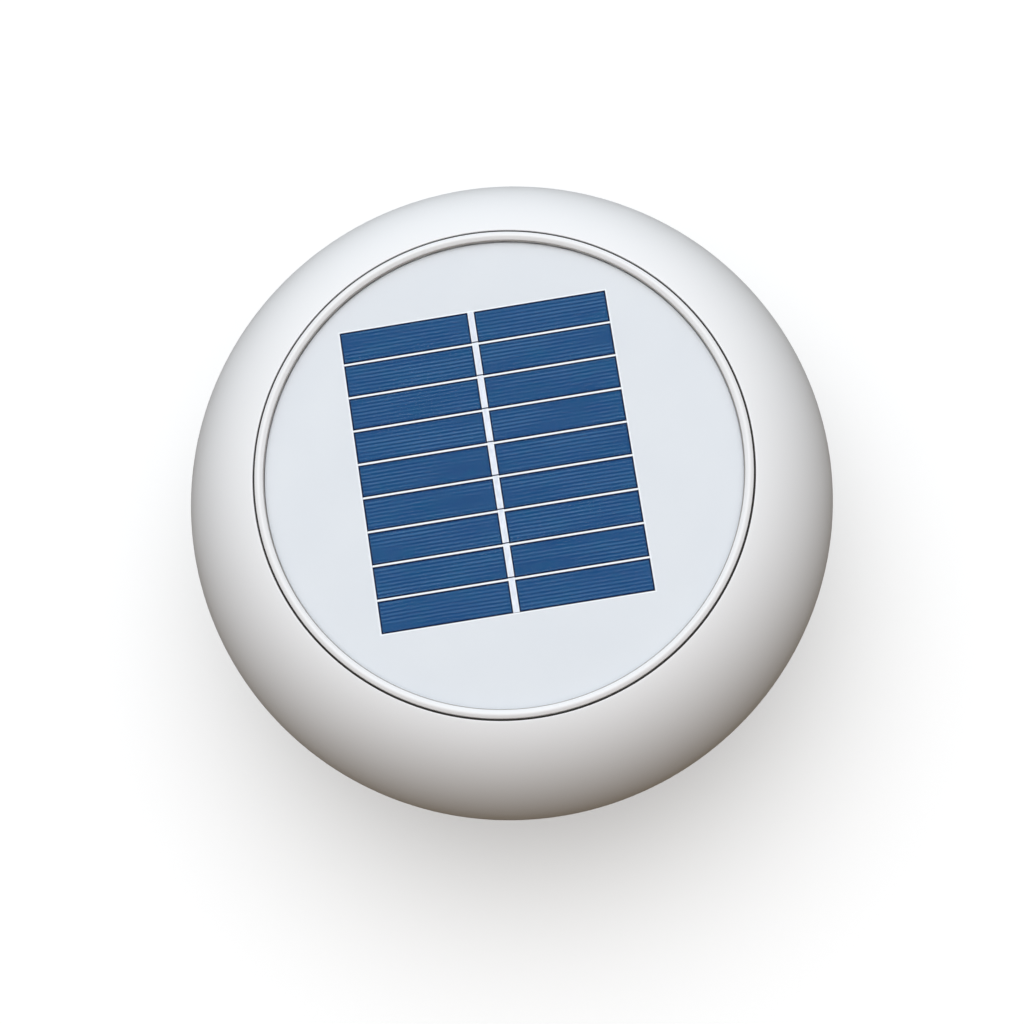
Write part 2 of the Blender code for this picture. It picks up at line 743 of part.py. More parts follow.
def outlet_guard():
    """The ring of upright bars that keeps leaves and animals out of the outlet gap."""
    bottom = FLANGE_TOP + GAP
    ring = tube(
        "outlet_guard", GUARD_OUTER - GUARD_WALL, GUARD_OUTER, bottom, GUARD_TOP, 2 * GUARD_SLOTS, WHITE_BASE
    )
    slot_low, slot_high = bottom + GUARD_FOOT_HEIGHT, GUARD_TOP - GUARD_CROWN_HEIGHT
    slots = boxes(
        "guard_slots",
        (4 * GUARD_WALL, GUARD_SLOT_WIDTH, slot_high - slot_low),
        (GUARD_OUTER - GUARD_WALL / 2, 0, (slot_low + slot_high) / 2),
        around(GUARD_SLOTS, pi / GUARD_SLOTS),
    )
    cut(ring, slots)


def insect_screen():
    """The moulded grid that holds the fine mesh, on the collar's ledge."""
    outlines = [circle_points(COLLAR_INNER - GAP, around(FINE))]
    outlines.append(circle_points(SCREEN_EYE_RADIUS, around(12)))
    half = pi / SCREEN_SPOKES
    for inner, outer in zip(SCREEN_RINGS, SCREEN_RINGS[1:]):
        near = inner + SCREEN_BAR / 2
        far = outer - SCREEN_BAR / 2
        for middle in around(SCREEN_SPOKES, LEAD_ANGLE + half):
            far_half = half - SCREEN_BAR / 2 / far
            near_half = half - SCREEN_BAR / 2 / near
            far_arc = circle_points(far, [middle + far_half * (2 * k / 3 - 1) for k in range(4)])
            near_arc = circle_points(near, [middle - near_half * (k - 1) for k in range(3)])
            outlines.append(far_arc + near_arc)
    plate("insect_screen", outlines, SCREEN_TOP - SCREEN_THICKNESS, SCREEN_TOP, GREY_FAN)


# ---------------------------------------------------------------------------- damper and switch
def window_cutter(name, start, low, high):
    outlines = [
        sector(WINDOW_INNER, WINDOW_OUTER, angle, WINDOW_HALF_ANGLE) for angle in around(WINDOWS, start)
    ]
    return plate(name, outlines, low, high)


def damper(shutter_axis):
    seat_top = SEAT_Z + SEAT_THICKNESS
    ring_outer = COLLAR_INNER - GAP
    hub_bottom = CAP_Z + CAP_THICKNESS + GAP
    seat = turned(
        "damper_seat",
        [
            (SEAT_RING_INNER, LEDGE_Z - GAP),
            (ring_outer, LEDGE_Z - GAP),
            (ring_outer, SEAT_Z),
            (HUB_OUTER, SEAT_Z),
            (HUB_OUTER, hub_bottom),
            (HUB_INNER, hub_bottom),
            (HUB_INNER, seat_top),
            (SEAT_RING_INNER, seat_top),
        ],
        FINE,
        WHITE_BASE,
    )
    cut(seat, window_cutter("seat_windows", 0, SEAT_Z - OVERCUT, seat_top + OVERCUT))

    shutter = tube(
        "damper_shutter", HUB_OUTER + GAP, SHUTTER_RADIUS, SHUTTER_Z, SEAT_Z - GAP, FINE, WHITE_BASE, shutter_axis
    )
    grips = boxes(
        "shutter_grips", GRIP_SIZE, (GRIP_MIDDLE, 0, SHUTTER_Z - 0.0020),
        [tau / WINDOWS / 2, pi + tau / WINDOWS / 2],
    )
    join(shutter, grips)
    cut(shutter, window_cutter("shutter_windows", 0, SHUTTER_Z - OVERCUT, SEAT_Z + OVERCUT))

    cap_top = CAP_Z + CAP_THICKNESS
    cap = turned(
        "hub_cap",
        [
            (0, cap_top),
            (CAP_PLUG_INNER, cap_top),
            (CAP_PLUG_INNER, CAP_PLUG_TOP),
            (HUB_INNER - GAP, CAP_PLUG_TOP),
            (HUB_INNER - GAP, cap_top),
            (CAP_RADIUS, cap_top),
            (CAP_RADIUS, CAP_Z + 0.0006),
            (CAP_RADIUS - 0.0006, CAP_Z),
            (0, CAP_Z),
        ],
        MEDIUM,
        WHITE_BASE,
        closed=False,
    )
    cut(cap, box("cap_cutout", (0.0138, 0.0094, 0.010), (0, 0, CAP_Z)))


def switch(rocker_axis):
    bezel_top = CAP_Z - GAP
    bezel_low = bezel_top - 0.0015
    body = box(
        "switch_body", (*SWITCH_BODY, SWITCH_BODY_TOP - bezel_low), (0, 0, (SWITCH_BODY_TOP + bezel_low) / 2),
        BLACK_PLASTIC,
    )
    join(body, box("switch_bezel", SWITCH_BEZEL, (0, 0, bezel_top - 0.0008)))
    pivot_hole = rod("switch_pivot_hole", ROCKER_PIN_RADIUS + GAP, -0.0060, 0.0060, 12)
    pivot_hole.rotation_euler.x = pi / 2
    pivot_hole.location.z = ROCKER_PIVOT_Z
    cut(body, box("switch_pocket", SWITCH_POCKET, (0, 0, bezel_low + 0.0035)), pivot_hole)

    # The rocker's foot is a shallow V, so that one half lies level when the other stands proud
    half = ROCKER_LENGTH / 2
    low = -0.0024
    proud = low - half * sin(ROCKER_TILT)
    outline = [(-half, proud), (0, low), (half, proud), (half - 0.0012, 0.0012), (-half + 0.0012, 0.0012)]
    rocker = plate("switch_rocker", [outline], -ROCKER_WIDTH / 2, ROCKER_WIDTH / 2, BLACK_PLASTIC)
    pin = rod("rocker_pin", ROCKER_PIN_RADIUS, -0.0042, 0.0042, 12)
    join(rocker, pin)
    for piece in (rocker, pin):
        piece.parent = rocker_axis
        piece.rotation_euler = (pi / 2, ROCKER_TILT, 0)


# ---------------------------------------------------------------------------- motor and fan
def motor_bracket():
    low, high = BRACKET_Z, BRACKET_Z + BRACKET_THICKNESS
    ring = tube("motor_bracket", COLLAR_INNER, BRACKET_RING_OUTER, low, high, 36, WHITE_BASE)
    cup = turned(
        "bracket_cup",
        [
            (CUP_INNER, low + CUP_HEIGHT),
            (CUP_OUTER, low + CUP_HEIGHT),
            (CUP_OUTER, low),
            (BRACKET_EYE_RADIUS, low),
            (BRACKET_EYE_RADIUS, high),
            (CUP_INNER, high),
        ],
        24,
    )
    arm_middle = (CUP_INNER + 0.001 + BRACKET_RING_OUTER - 0.002) / 2
    arm_length = BRACKET_RING_OUTER - CUP_INNER - 0.003
    arms = boxes(
        "bracket_arms", (arm_length, ARM_WIDTH, BRACKET_THICKNESS - 0.0004),
        (arm_middle, 0, (low + high) / 2), around(BRACKET_ARMS, pi / BRACKET_ARMS),
    )
    ear_places = circle_points(EAR_CIRCLE, around(BRACKET_ARMS))
    ears = rods("bracket_ears", EAR_RADIUS, low + 0.0002, high - 0.0002, COARSE, ear_places)
    join(ring, cup, arms, ears)
    motor_holes = [(-MOTOR_SCREW_X, 0), (MOTOR_SCREW_X, 0)]
    cut(
        ring,
        rods("bracket_ear_holes", BRACKET_SCREW[2] + 0.0004, low - OVERCUT, high + OVERCUT, 10, ear_places),
        rods("bracket_motor_holes", MOTOR_SCREW[2] + GAP, low - OVERCUT, high + OVERCUT, 10, motor_holes),
    )
    for k, (x, y) in enumerate(ear_places, 1):
        screw(f"bracket_screw_{k}", *BRACKET_SCREW, (x, y, high + GAP), STEEL)


def motor():
    inner = MOTOR_RADIUS - MOTOR_WALL
    bush_hole = BUSH_OUTER + GAP
    can = turned(
        "motor_can",
        [
            (inner, MOTOR_TOP),
            (MOTOR_RADIUS, MOTOR_TOP),
            (MOTOR_RADIUS, MOTOR_Z + 0.0008),
            (MOTOR_RADIUS - 0.0008, MOTOR_Z),
            (bush_hole, MOTOR_Z),
            (bush_hole, MOTOR_Z + MOTOR_WALL),
            (inner, MOTOR_Z + MOTOR_WALL),
        ],
        MEDIUM,
        STEEL,
    )
    screw_places = [(-MOTOR_SCREW_X, 0), (MOTOR_SCREW_X, 0)]
    low, high = MOTOR_Z - OVERCUT, MOTOR_Z + 2 * MOTOR_WALL
    cut(can, rods("can_screw_holes", MOTOR_SCREW[2] + GAP, low, high, 10, screw_places))
    cap_low = MOTOR_TOP + GAP
    cap_high = cap_low + MOTOR_CAP_THICKNESS
    tube("motor_end_cap", bush_hole, MOTOR_RADIUS - 0.0003, cap_low, cap_high, MEDIUM, BLACK_PLASTIC)
    for side, x in (("left", -TERMINAL_X), ("right", TERMINAL_X)):
        box(f"motor_terminal_{side}", (0.0006, 0.0030, 0.0050), (x, 0, cap_high + GAP + 0.0025), BRASS)
    for side, middle in (("front", -pi / 2), ("back", pi / 2)):
        arc = sector(0.0107, inner - GAP, middle, radians(58), 8)
        plate(f"motor_magnet_{side}", [arc], MOTOR_Z + 0.0030, MOTOR_TOP - 0.0040, MAGNET)
    bore = SHAFT_RADIUS + GAP
    tube("motor_bush_front", bore, BUSH_OUTER, MOTOR_Z - 0.0025, MOTOR_Z + 0.0030, COARSE, BRASS)
    tube("motor_bush_rear", bore, BUSH_OUTER, cap_low - 0.0006, cap_high + 0.0006, COARSE, BRASS)
    for k, (x, y) in enumerate(screw_places, 1):
        screw(f"motor_screw_{k}", *MOTOR_SCREW, (x, y, BRACKET_Z - GAP), STEEL, facing=-1)


def armature_outline():
    """Three poles, each a neck that spreads into a curved shoe."""
    points = []
    for middle in around(3, pi / 2):
        neck = radians(16)
        points += circle_points(0.0050, [middle - radians(38)])
        points += circle_points(0.0082, [middle - neck])
        points += circle_points(0.0090, [middle - radians(50)])
        points += circle_points(0.0103, [middle + radians(52) * (k / 3 - 1) for k in range(7)])
        points += circle_points(0.0090, [middle + radians(50)])
        points += circle_points(0.0082, [middle + neck])
        points += circle_points(0.0050, [middle + radians(38)])
    return points


def rotor(rotor_axis):
    bore = SHAFT_RADIUS + GAP
    rod("motor_shaft", SHAFT_RADIUS, SHAFT_END_Z, MOTOR_TOP + 0.0045, COARSE, STEEL, rotor_axis)
    core_low, core_high = MOTOR_Z + 0.0050, MOTOR_TOP - 0.0065
    bore_points = circle_points(bore, around(COARSE))
    plate("armature_core", [armature_outline(), bore_points], core_low, core_high, STEEL, rotor_axis)
    tube("commutator", bore, COMMUTATOR_RADIUS, core_high + GAP, MOTOR_TOP - 0.0012, COARSE, COPPER, rotor_axis)

    wall_inner = FAN_HUB_RADIUS - FAN_HUB_WALL
    under_top = FAN_HUB_TOP - 0.0023
    hub = turned(
        "fan_impeller",
        [
            (FAN_BORE, FAN_HUB_TOP),
            (FAN_HUB_RADIUS - FAN_HUB_CHAMFER, FAN_HUB_TOP),
            (FAN_HUB_RADIUS, FAN_HUB_TOP - FAN_HUB_CHAMFER),
            (FAN_HUB_RADIUS, FAN_HUB_BOTTOM),
            (wall_inner, FAN_HUB_BOTTOM),
            (wall_inner, under_top),
            (FAN_BOSS_RADIUS, under_top),
            (FAN_BOSS_RADIUS, FAN_HUB_BOTTOM + 0.0010),
            (FAN_BORE, FAN_HUB_BOTTOM + 0.0010),
        ],
        MEDIUM,
        GREY_FAN,
        rotor_axis,
    )
    join(hub, fan_blades())
    tube("fan_bush", bore, FAN_BORE - GAP, FAN_HUB_BOTTOM, FAN_HUB_TOP + 0.0004, COARSE, BRASS, rotor_axis)
    tube("shaft_clip", bore, 0.0034, FAN_HUB_BOTTOM - 0.0014, FAN_HUB_BOTTOM - GAP, COARSE, STEEL, rotor_axis)


def fan_blades():
    """Twisted blades: each is a surface of sections across the span, given its thickness by Solidify."""
    spans, chords = 4, 4
    root = FAN_HUB_RADIUS - BLADE_SUNK
    mesh = bpy.data.meshes.new("fan_blades")
    work = bmesh.new()
    for start in around(FAN_BLADES):
        rows = []
        for i in range(spans + 1):
            share = i / spans
            radius = root + (FAN_RADIUS - root) * share
            chord = BLADE_ROOT_CHORD + (BLADE_TIP_CHORD - BLADE_ROOT_CHORD) * share
            pitch = BLADE_ROOT_PITCH + (BLADE_TIP_PITCH - BLADE_ROOT_PITCH) * share
            sweep = BLADE_SWEEP * share
            row = []
            for j in range(chords + 1):
                along = chord * (j / chords - 0.5)
                camber = BLADE_CAMBER * (1 - (2 * j / chords - 1) ** 2)
                angle = start + sweep + along * cos(pitch) / radius
                z = FAN_MIDDLE_Z + along * sin(pitch) + camber
                row.append(work.verts.new((radius * cos(angle), radius * sin(angle), z)))
            rows.append(row)
        for near, far in zip(rows, rows[1:]):
            for j in range(chords):
                work.faces.new((near[j], far[j], far[j + 1], near[j + 1]))
    work.to_mesh(mesh)
    work.free()
    blades = place(bpy.data.objects.new("fan_blades", mesh))
    skin = blades.modifiers.new("thickness", "SOLIDIFY")
    skin.thickness = BLADE_THICKNESS
    skin.offset = 0
    return blades


# ---------------------------------------------------------------------------- leads
def lead(name, route, ends=None):
    """A lead along a smooth route. With ends, it is a twin lead whose two cores part at the last points."""
    step = 0.0048
    if ends is None:
        return wire(name, smooth_route(route, step), LEAD_RADIUS, LEAD_SHEATH)
    cores = []
    for side, end, core_name, paint in zip((-1, 1), ends, (name, f"{name}_other_core"), (LEAD_SHEATH, None)):
        offset = Vector((side * 0.8 * LEAD_RADIUS, 0, 0))
        points = [Vector(p) + offset for p in route] + [Vector(p) for p in end]
        core = wire(f"{core_name}_curve", smooth_route(points, step), LEAD_RADIUS, None)
        cores.append(place(as_mesh(core, core_name), paint))
    return join(*cores)


def leads():
    """The leads inside the vent, each held along its whole way."""
    above_screen = SCREEN_TOP + GAP + LEAD_RADIUS
    beside_pillar = (BRACKET_RING_OUTER + PILLAR_CIRCLE - PILLAR_RADIUS) / 2
    radial = [
        (0, 0.0178),
        (0, 0.0240),
        (0.0006, 0.0268),
        (0.0030, 0.0288),
        (0.0070, 0.0281),
        (0.0120, above_screen),
        (0.0250, above_screen),
        (0.0400, above_screen),
        (0.0465, 0.0282),
        (0.0497, 0.0312),
        (0.0502, 0.0342),
        (0.0517, 0.0367),
        (0.0545, LEAD_HOLE_Z),
        (0.0564, 0.0378),
        (0.0577, 0.0392),
        (beside_pillar, 0.0415),
        (beside_pillar, 0.0560),
        (beside_pillar, 0.0700),
    ]
    switch_route = [(r * cos(LEAD_ANGLE), r * sin(LEAD_ANGLE), z) for r, z in radial]
    first, second, third, fourth = CONNECTOR_MOUTHS
    in_mouth = CONNECTOR_LOW + 0.0030
    below = CONNECTOR_LOW - 0.0020
    lead(
        "lead_switch",
        [
            *switch_route,
            (-0.0385, -0.0395, 0.0765),
            (-0.0300, -0.0360, 0.0785),
            (-0.0180, -0.0310, 0.0765),
            (-0.0110, CONNECTOR_Y, 0.0776),
            (first, CONNECTOR_Y, below),
            (first, CONNECTOR_Y, in_mouth),
        ],
    )
    top = MOTOR_TOP + 0.0060
    lead(
        "lead_motor",
        [
            (third, CONNECTOR_Y, in_mouth),
            (third, CONNECTOR_Y, below),
            (third, CONNECTOR_Y + 0.0040, below - 0.0024),
            (third, -0.0210, below - 0.0005),
            (third, -0.0175, 0.0840),
        ],
        [
            [(-0.0010, -0.0140, 0.0880), (-0.0060, -0.0070, top), (-TERMINAL_X, -0.0028, top)],
            [(0.0060, -0.0130, 0.0880), (0.0080, -0.0070, top), (TERMINAL_X, -0.0028, top)],
        ],
    )
    tray_under = TRAY_FLOOR_Z + TRAY_FLOOR_THICKNESS - 0.0002
    lead(
        "lead_panel",
        [
            (second, CONNECTOR_Y, in_mouth),
            (second, CONNECTOR_Y, below),
            (second, CONNECTOR_Y + 0.0040, below - 0.0024),
            (second, -0.0215, below - 0.0005),
            (second, -0.0195, 0.0860),
            (second, -0.0160, 0.0930),
            (-0.0015, -0.0080, 0.0975),
        ],
        [
            [(-0.0018, -0.0020, 0.0995), (-0.0020, 0, tray_under)],
            [(0.0012, -0.0020, 0.0995), (0.0020, 0, tray_under)],
        ],
    )
    holder_front = BATTERY_AXIS_Y - HOLDER_WIDTH / 2 - GAP
    lead(
        "lead_battery",
        [
            (fourth, CONNECTOR_Y, in_mouth),
            (fourth, CONNECTOR_Y, below),
            (fourth + 0.0010, CONNECTOR_Y + 0.0040, below - 0.0020),
            (0.0160, -0.0200, 0.0830),
            (0.0240, -0.0080, 0.0900),
            (0.0290, 0.0060, 0.0930),
            (0.0310, 0.0180, 0.0915),
            (0.0310, holder_front, 0.0900),
        ],
    )


# ---------------------------------------------------------------------------- assembly
rotor_axis = empty("rotor_axis", (0, 0, 0))
shutter_axis = empty("shutter_axis", (0, 0, 0))
rocker_axis = empty("rocker_axis", (0, 0, ROCKER_PIVOT_Z))

base()
outlet_guard()
insect_screen()
damper(shutter_axis)
switch(rocker_axis)
motor_bracket()
motor()
rotor(rotor_axis)
dome()
solar_module()
battery()
charge_board()
leads()

for part in vent.objects:
    if part.type == "MESH" and part.data.polygons:
        smooth(part)
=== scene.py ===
"""The looks of a small solar roof vent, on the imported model's frame. Sizes are in metres."""

import json
from math import acos, asin, cos, pi, radians, sin, sqrt, tan, tau

import bmesh
import bpy
from mathutils import Matrix, Vector


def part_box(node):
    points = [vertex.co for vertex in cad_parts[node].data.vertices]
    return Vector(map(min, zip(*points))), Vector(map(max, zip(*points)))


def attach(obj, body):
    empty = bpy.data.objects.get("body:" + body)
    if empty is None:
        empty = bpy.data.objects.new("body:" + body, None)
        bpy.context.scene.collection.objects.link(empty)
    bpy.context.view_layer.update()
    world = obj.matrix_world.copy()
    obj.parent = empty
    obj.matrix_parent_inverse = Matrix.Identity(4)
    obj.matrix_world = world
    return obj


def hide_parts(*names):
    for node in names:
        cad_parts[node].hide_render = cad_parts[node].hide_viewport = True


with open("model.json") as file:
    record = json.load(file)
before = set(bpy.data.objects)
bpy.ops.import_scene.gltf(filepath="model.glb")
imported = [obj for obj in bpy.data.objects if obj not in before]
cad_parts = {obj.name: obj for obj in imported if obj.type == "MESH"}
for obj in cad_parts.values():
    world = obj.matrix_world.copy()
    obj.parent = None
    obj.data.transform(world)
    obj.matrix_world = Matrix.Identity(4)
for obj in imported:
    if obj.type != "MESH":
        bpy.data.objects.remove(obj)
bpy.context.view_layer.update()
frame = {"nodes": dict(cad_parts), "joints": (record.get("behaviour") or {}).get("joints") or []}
nodes = frame["nodes"]

# ---- sizes, from the frame
DOME_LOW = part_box("dome_shell")[0]
BASE_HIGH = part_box("base_flange")[1]
BEZEL_LOW, BEZEL_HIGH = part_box("bezel_ring")
LENS_LOW, LENS_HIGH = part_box("window_lens")
SHEET_LOW, SHEET_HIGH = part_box("backsheet")
GUARD_LOW, GUARD_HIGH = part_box("outlet_guard")
GASKET_LOW, GASKET_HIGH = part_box("roof_gasket")
SCREEN_LOW, SCREEN_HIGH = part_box("insect_screen")
SEAT_LOW, SEAT_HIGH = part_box("damper_seat")
SHUTTER_LOW, SHUTTER_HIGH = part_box("damper_shutter")
CAP_LOW, CAP_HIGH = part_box("hub_cap")
FAN_LOW, FAN_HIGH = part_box("fan_impeller")
CAN_LOW, CAN_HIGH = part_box("motor_can")
TOP_CELL_LOW, TOP_CELL_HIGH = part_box("solar_cell_1")
NEXT_CELL_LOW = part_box("solar_cell_2")[0]
END_CELL_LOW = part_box("solar_cell_9")[0]
RIBBON_LOW, RIBBON_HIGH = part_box("busbar_ribbon")

MM = 0.001
ROUND = 192  # sides of the large round pieces
MEDIUM_ROUND = 96  # of the damper, hub, motor and fan
PILLAR_ROUND = 40  # of the base's pillars and posts
SMALL_ROUND = 32  # of holes, screws and marks
PIN_ROUND = 24  # of the pins under the deck

# The dome's side is a quarter of an ellipse above its widest circle and a shorter one below it
DOME_RADIUS = 100.3 * MM
DOME_WALL = 2.6 * MM
EQUATOR_Z = 71.2 * MM
CURVE_CENTRE = 65.0 * MM
POCKET_RADIUS = 75.2 * MM
SEAM_Z = BEZEL_HIGH.z - 1.3 * MM
DECK_TOP = 99.5 * MM
DECK_THICKNESS = 2.4 * MM
DECK_HOLE = 24.0 * MM
LOWER_HEIGHT = 35.3 * MM
SHARE_AT_POCKET = (POCKET_RADIUS - CURVE_CENTRE) / (DOME_RADIUS - CURVE_CENTRE)
UPPER_HEIGHT = (SEAM_Z - EQUATOR_Z) / sqrt(1 - SHARE_AT_POCKET**2)

COLLAR_OUTER = 56.0 * MM
COLLAR_INNER = 53.0 * MM
FLANGE_Z = 32.0 * MM
FLANGE_TOP = 35.5 * MM
DUCT_TOP = 52.0 * MM
PILLAR_CIRCLE = 64.0 * MM
POST_CIRCLE = 59.0 * MM
ROOF_HOLE_CIRCLE = 75.0 * MM
ROOF_HOLE_RADIUS = 2.6 * MM
ROOF_HOLES = 6

WINDOWS = 8
WINDOW_HALF_ANGLE = radians(10.5)
WINDOW_INNER = 19.0 * MM
WINDOW_OUTER = 47.8 * MM

CELLS = 9
CELL_PITCH = TOP_CELL_LOW.y - NEXT_CELL_LOW.y
CELL_WIDTH = TOP_CELL_HIGH.x - TOP_CELL_LOW.x
CELL_DEPTH = TOP_CELL_HIGH.y - TOP_CELL_LOW.y
ARRAY_MIDDLE = (TOP_CELL_LOW.x + TOP_CELL_HIGH.x) / 2
RIBBON_MIDDLE = (RIBBON_LOW.x + RIBBON_HIGH.x) / 2 - 0.5 * MM
RIBBON_HALF = (RIBBON_HIGH.x - RIBBON_LOW.x) / 2


# ---- materials
class Paint:
    """A Principled material, with short calls that add nodes to it."""

    def __init__(self, name, colour, roughness, metallic=0.0, **sockets):
        self.material = bpy.data.materials.new(name)
        self.material.use_nodes = True
        self.tree = self.material.node_tree
        self.shader = self.tree.nodes["Principled BSDF"]
        self.shader.inputs["Base Color"].default_value = (*colour, 1)
        self.shader.inputs["Roughness"].default_value = roughness
        self.shader.inputs["Metallic"].default_value = metallic
        for socket, value in sockets.items():
            self.shader.inputs[socket.replace("_", " ")].default_value = value
        self.colour = colour
        self.place = self.node("ShaderNodeTexCoord").outputs["Object"]

    def node(self, kind, **settings):
        made = self.tree.nodes.new(kind)
        for name, value in settings.items():
            setattr(made, name, value)
        return made

    def link(self, output, target):
        self.tree.links.new(output, target)

    def feed(self, socket, output):
        """Links an output to one of the shader's own sockets."""
        self.link(output, self.shader.inputs[socket])

    def math(self, operation, a, b=0.0, clamp=False):
        made = self.node("ShaderNodeMath", operation=operation, use_clamp=clamp)
        for socket, value in zip(made.inputs, (a, b)):
            if isinstance(value, (int, float)):
                socket.default_value = value
            else:
                self.link(value, socket)
        return made.outputs[0]

    def noise(self, size, detail=3.0, stretch=(1, 1, 1)):
        """Noise with features of about that size, in metres."""
        mapping = self.node("ShaderNodeMapping")
        mapping.inputs["Scale"].default_value = stretch
        self.link(self.place, mapping.inputs["Vector"])
        made = self.node("ShaderNodeTexNoise")
        made.inputs["Scale"].default_value = 1 / size
        made.inputs["Detail"].default_value = detail
        self.link(mapping.outputs[0], made.inputs["Vector"])
        return made.outputs["Fac"]

    def axes(self):
        """The x, y and z of a point in the piece's own frame."""
        split = self.node("ShaderNodeSeparateXYZ")
        self.link(self.place, split.inputs[0])
        return list(split.outputs)

    def spread(self, value, low, high):
        """Spreads the middle range of a noise, 0.3 to 0.7, over low to high."""
        made = self.node("ShaderNodeMapRange")
        made.inputs["From Min"].default_value = 0.3
        made.inputs["From Max"].default_value = 0.7
        made.inputs["To Min"].default_value = low
        made.inputs["To Max"].default_value = high
        self.link(value, made.inputs["Value"])
        return made.outputs[0]

    def mix(self, factor, a, b):
        made = self.node("ShaderNodeMix", data_type="RGBA")
        for socket, value in zip((made.inputs[0], made.inputs[6], made.inputs[7]), (factor, a, b)):
            if isinstance(value, tuple):
                socket.default_value = (*value, 1)
            elif isinstance(value, (int, float)):
                socket.default_value = value
            else:
                self.link(value, socket)
        return made.outputs[2]

    def bump(self, height, distance, strength=1.0):
        """Adds fine relief, over any that is there already."""
        made = self.node("ShaderNodeBump")
        made.inputs["Distance"].default_value = distance
        made.inputs["Strength"].default_value = strength
        self.link(height, made.inputs["Height"])
        before = self.shader.inputs["Normal"].links
        if before:
            self.link(before[0].from_socket, made.inputs["Normal"])
        self.feed("Normal", made.outputs[0])

    def vary(self, roughness, size, shade=0.0, shade_size=0.03):
        """Uneven gloss, and a colour that drifts a little over the surface."""
        low, high = roughness
        self.feed("Roughness", self.spread(self.noise(size), low, high))
        if shade:
            darker = tuple(c * (1 - shade) for c in self.colour)
            factor = self.spread(self.noise(shade_size, 2.0), 0.0, 1.0)
            self.feed("Base Color", self.mix(factor, self.colour, darker))


def moulded(name, colour, roughness, grain=0.35 * MM, depth=0.012 * MM, shade=0.02):
    """Injection-moulded plastic: a fine grain, slow waves in the gloss and a faint drift in colour."""
    low, high = roughness
    paint = Paint(name, colour, (low + high) / 2)
    paint.vary(roughness, 6 * MM, shade)
    paint.bump(paint.noise(grain, 2.0), depth)
    return paint.material


def metal(name, colour, roughness, size=0.5 * MM, stretch=(1, 1, 1), depth=0.004 * MM):
    """Bare metal: one noise drives its gloss, its colour and its fine relief."""
    low, high = roughness
    paint = Paint(name, colour, (low + high) / 2, 1.0)
    brushed = paint.noise(size, 4.0, stretch)
    paint.feed("Roughness", paint.spread(brushed, low, high))
    darker = tuple(c * 0.85 for c in colour)
    paint.feed("Base Color", paint.mix(paint.spread(brushed, 0.0, 1.0), colour, darker))
    paint.bump(brushed, depth)
    return paint.material


def shell_paint():
    """Satin white shell, with the slight waviness of a large moulding."""
    paint = Paint("white_shell", (0.83, 0.83, 0.84), 0.42, Specular_IOR_Level=0.42)
    paint.vary((0.38, 0.46), 9 * MM, 0.012, 40 * MM)
    paint.bump(paint.noise(14 * MM, 1.0), 0.05 * MM, 0.35)
    paint.bump(paint.noise(0.4 * MM, 2.0), 0.006 * MM)
    return paint.material


def sheet_paint():
    """Bluish white backsheet: a faint cloudiness, as through cast resin."""
    paint = Paint("backsheet_white", (0.76, 0.78, 0.82), 0.55, Specular_IOR_Level=0.2)
    cloud = paint.spread(paint.noise(22 * MM, 2.0), 0.0, 1.0)
    paint.feed("Base Color", paint.mix(cloud, (0.742, 0.752, 0.768), (0.760, 0.768, 0.780)))
    paint.bump(paint.noise(0.6 * MM), 0.004 * MM)
    return paint.material


def lens_paint():
    """Clear resin that lets light straight through and shines a little at a slant."""
    paint = Paint("clear_lens", (1, 1, 1), 0.06)
    clear = paint.node("ShaderNodeBsdfTransparent")
    clear.inputs["Color"].default_value = (0.985, 0.992, 1.0, 1)
    gloss = paint.node("ShaderNodeBsdfGlossy")
    gloss.inputs["Roughness"].default_value = 0.07
    slant = paint.node("ShaderNodeFresnel")
    slant.inputs["IOR"].default_value = 1.12
    # Only the outer faces shine, or the window would turn into a mirror from inside
    outside = paint.math("SUBTRACT", 1.0, paint.node("ShaderNodeNewGeometry").outputs["Backfacing"])
    shine = paint.math("MULTIPLY", slant.outputs[0], outside)
    both = paint.node("ShaderNodeMixShader")
    wave = paint.node("ShaderNodeBump")
    wave.inputs["Distance"].default_value = 0.02 * MM
    wave.inputs["Strength"].default_value = 0.3
    paint.link(paint.noise(12 * MM, 1.0), wave.inputs["Height"])
    paint.link(wave.outputs[0], gloss.inputs["Normal"])
    paint.link(shine, both.inputs[0])
    paint.link(clear.outputs[0], both.inputs[1])
    paint.link(gloss.outputs[0], both.inputs[2])
    paint.tree.nodes.remove(paint.shader)
    output = next(n for n in paint.tree.nodes if n.type == "OUTPUT_MATERIAL")
    paint.link(both.outputs[0], output.inputs["Surface"])
    return paint.material


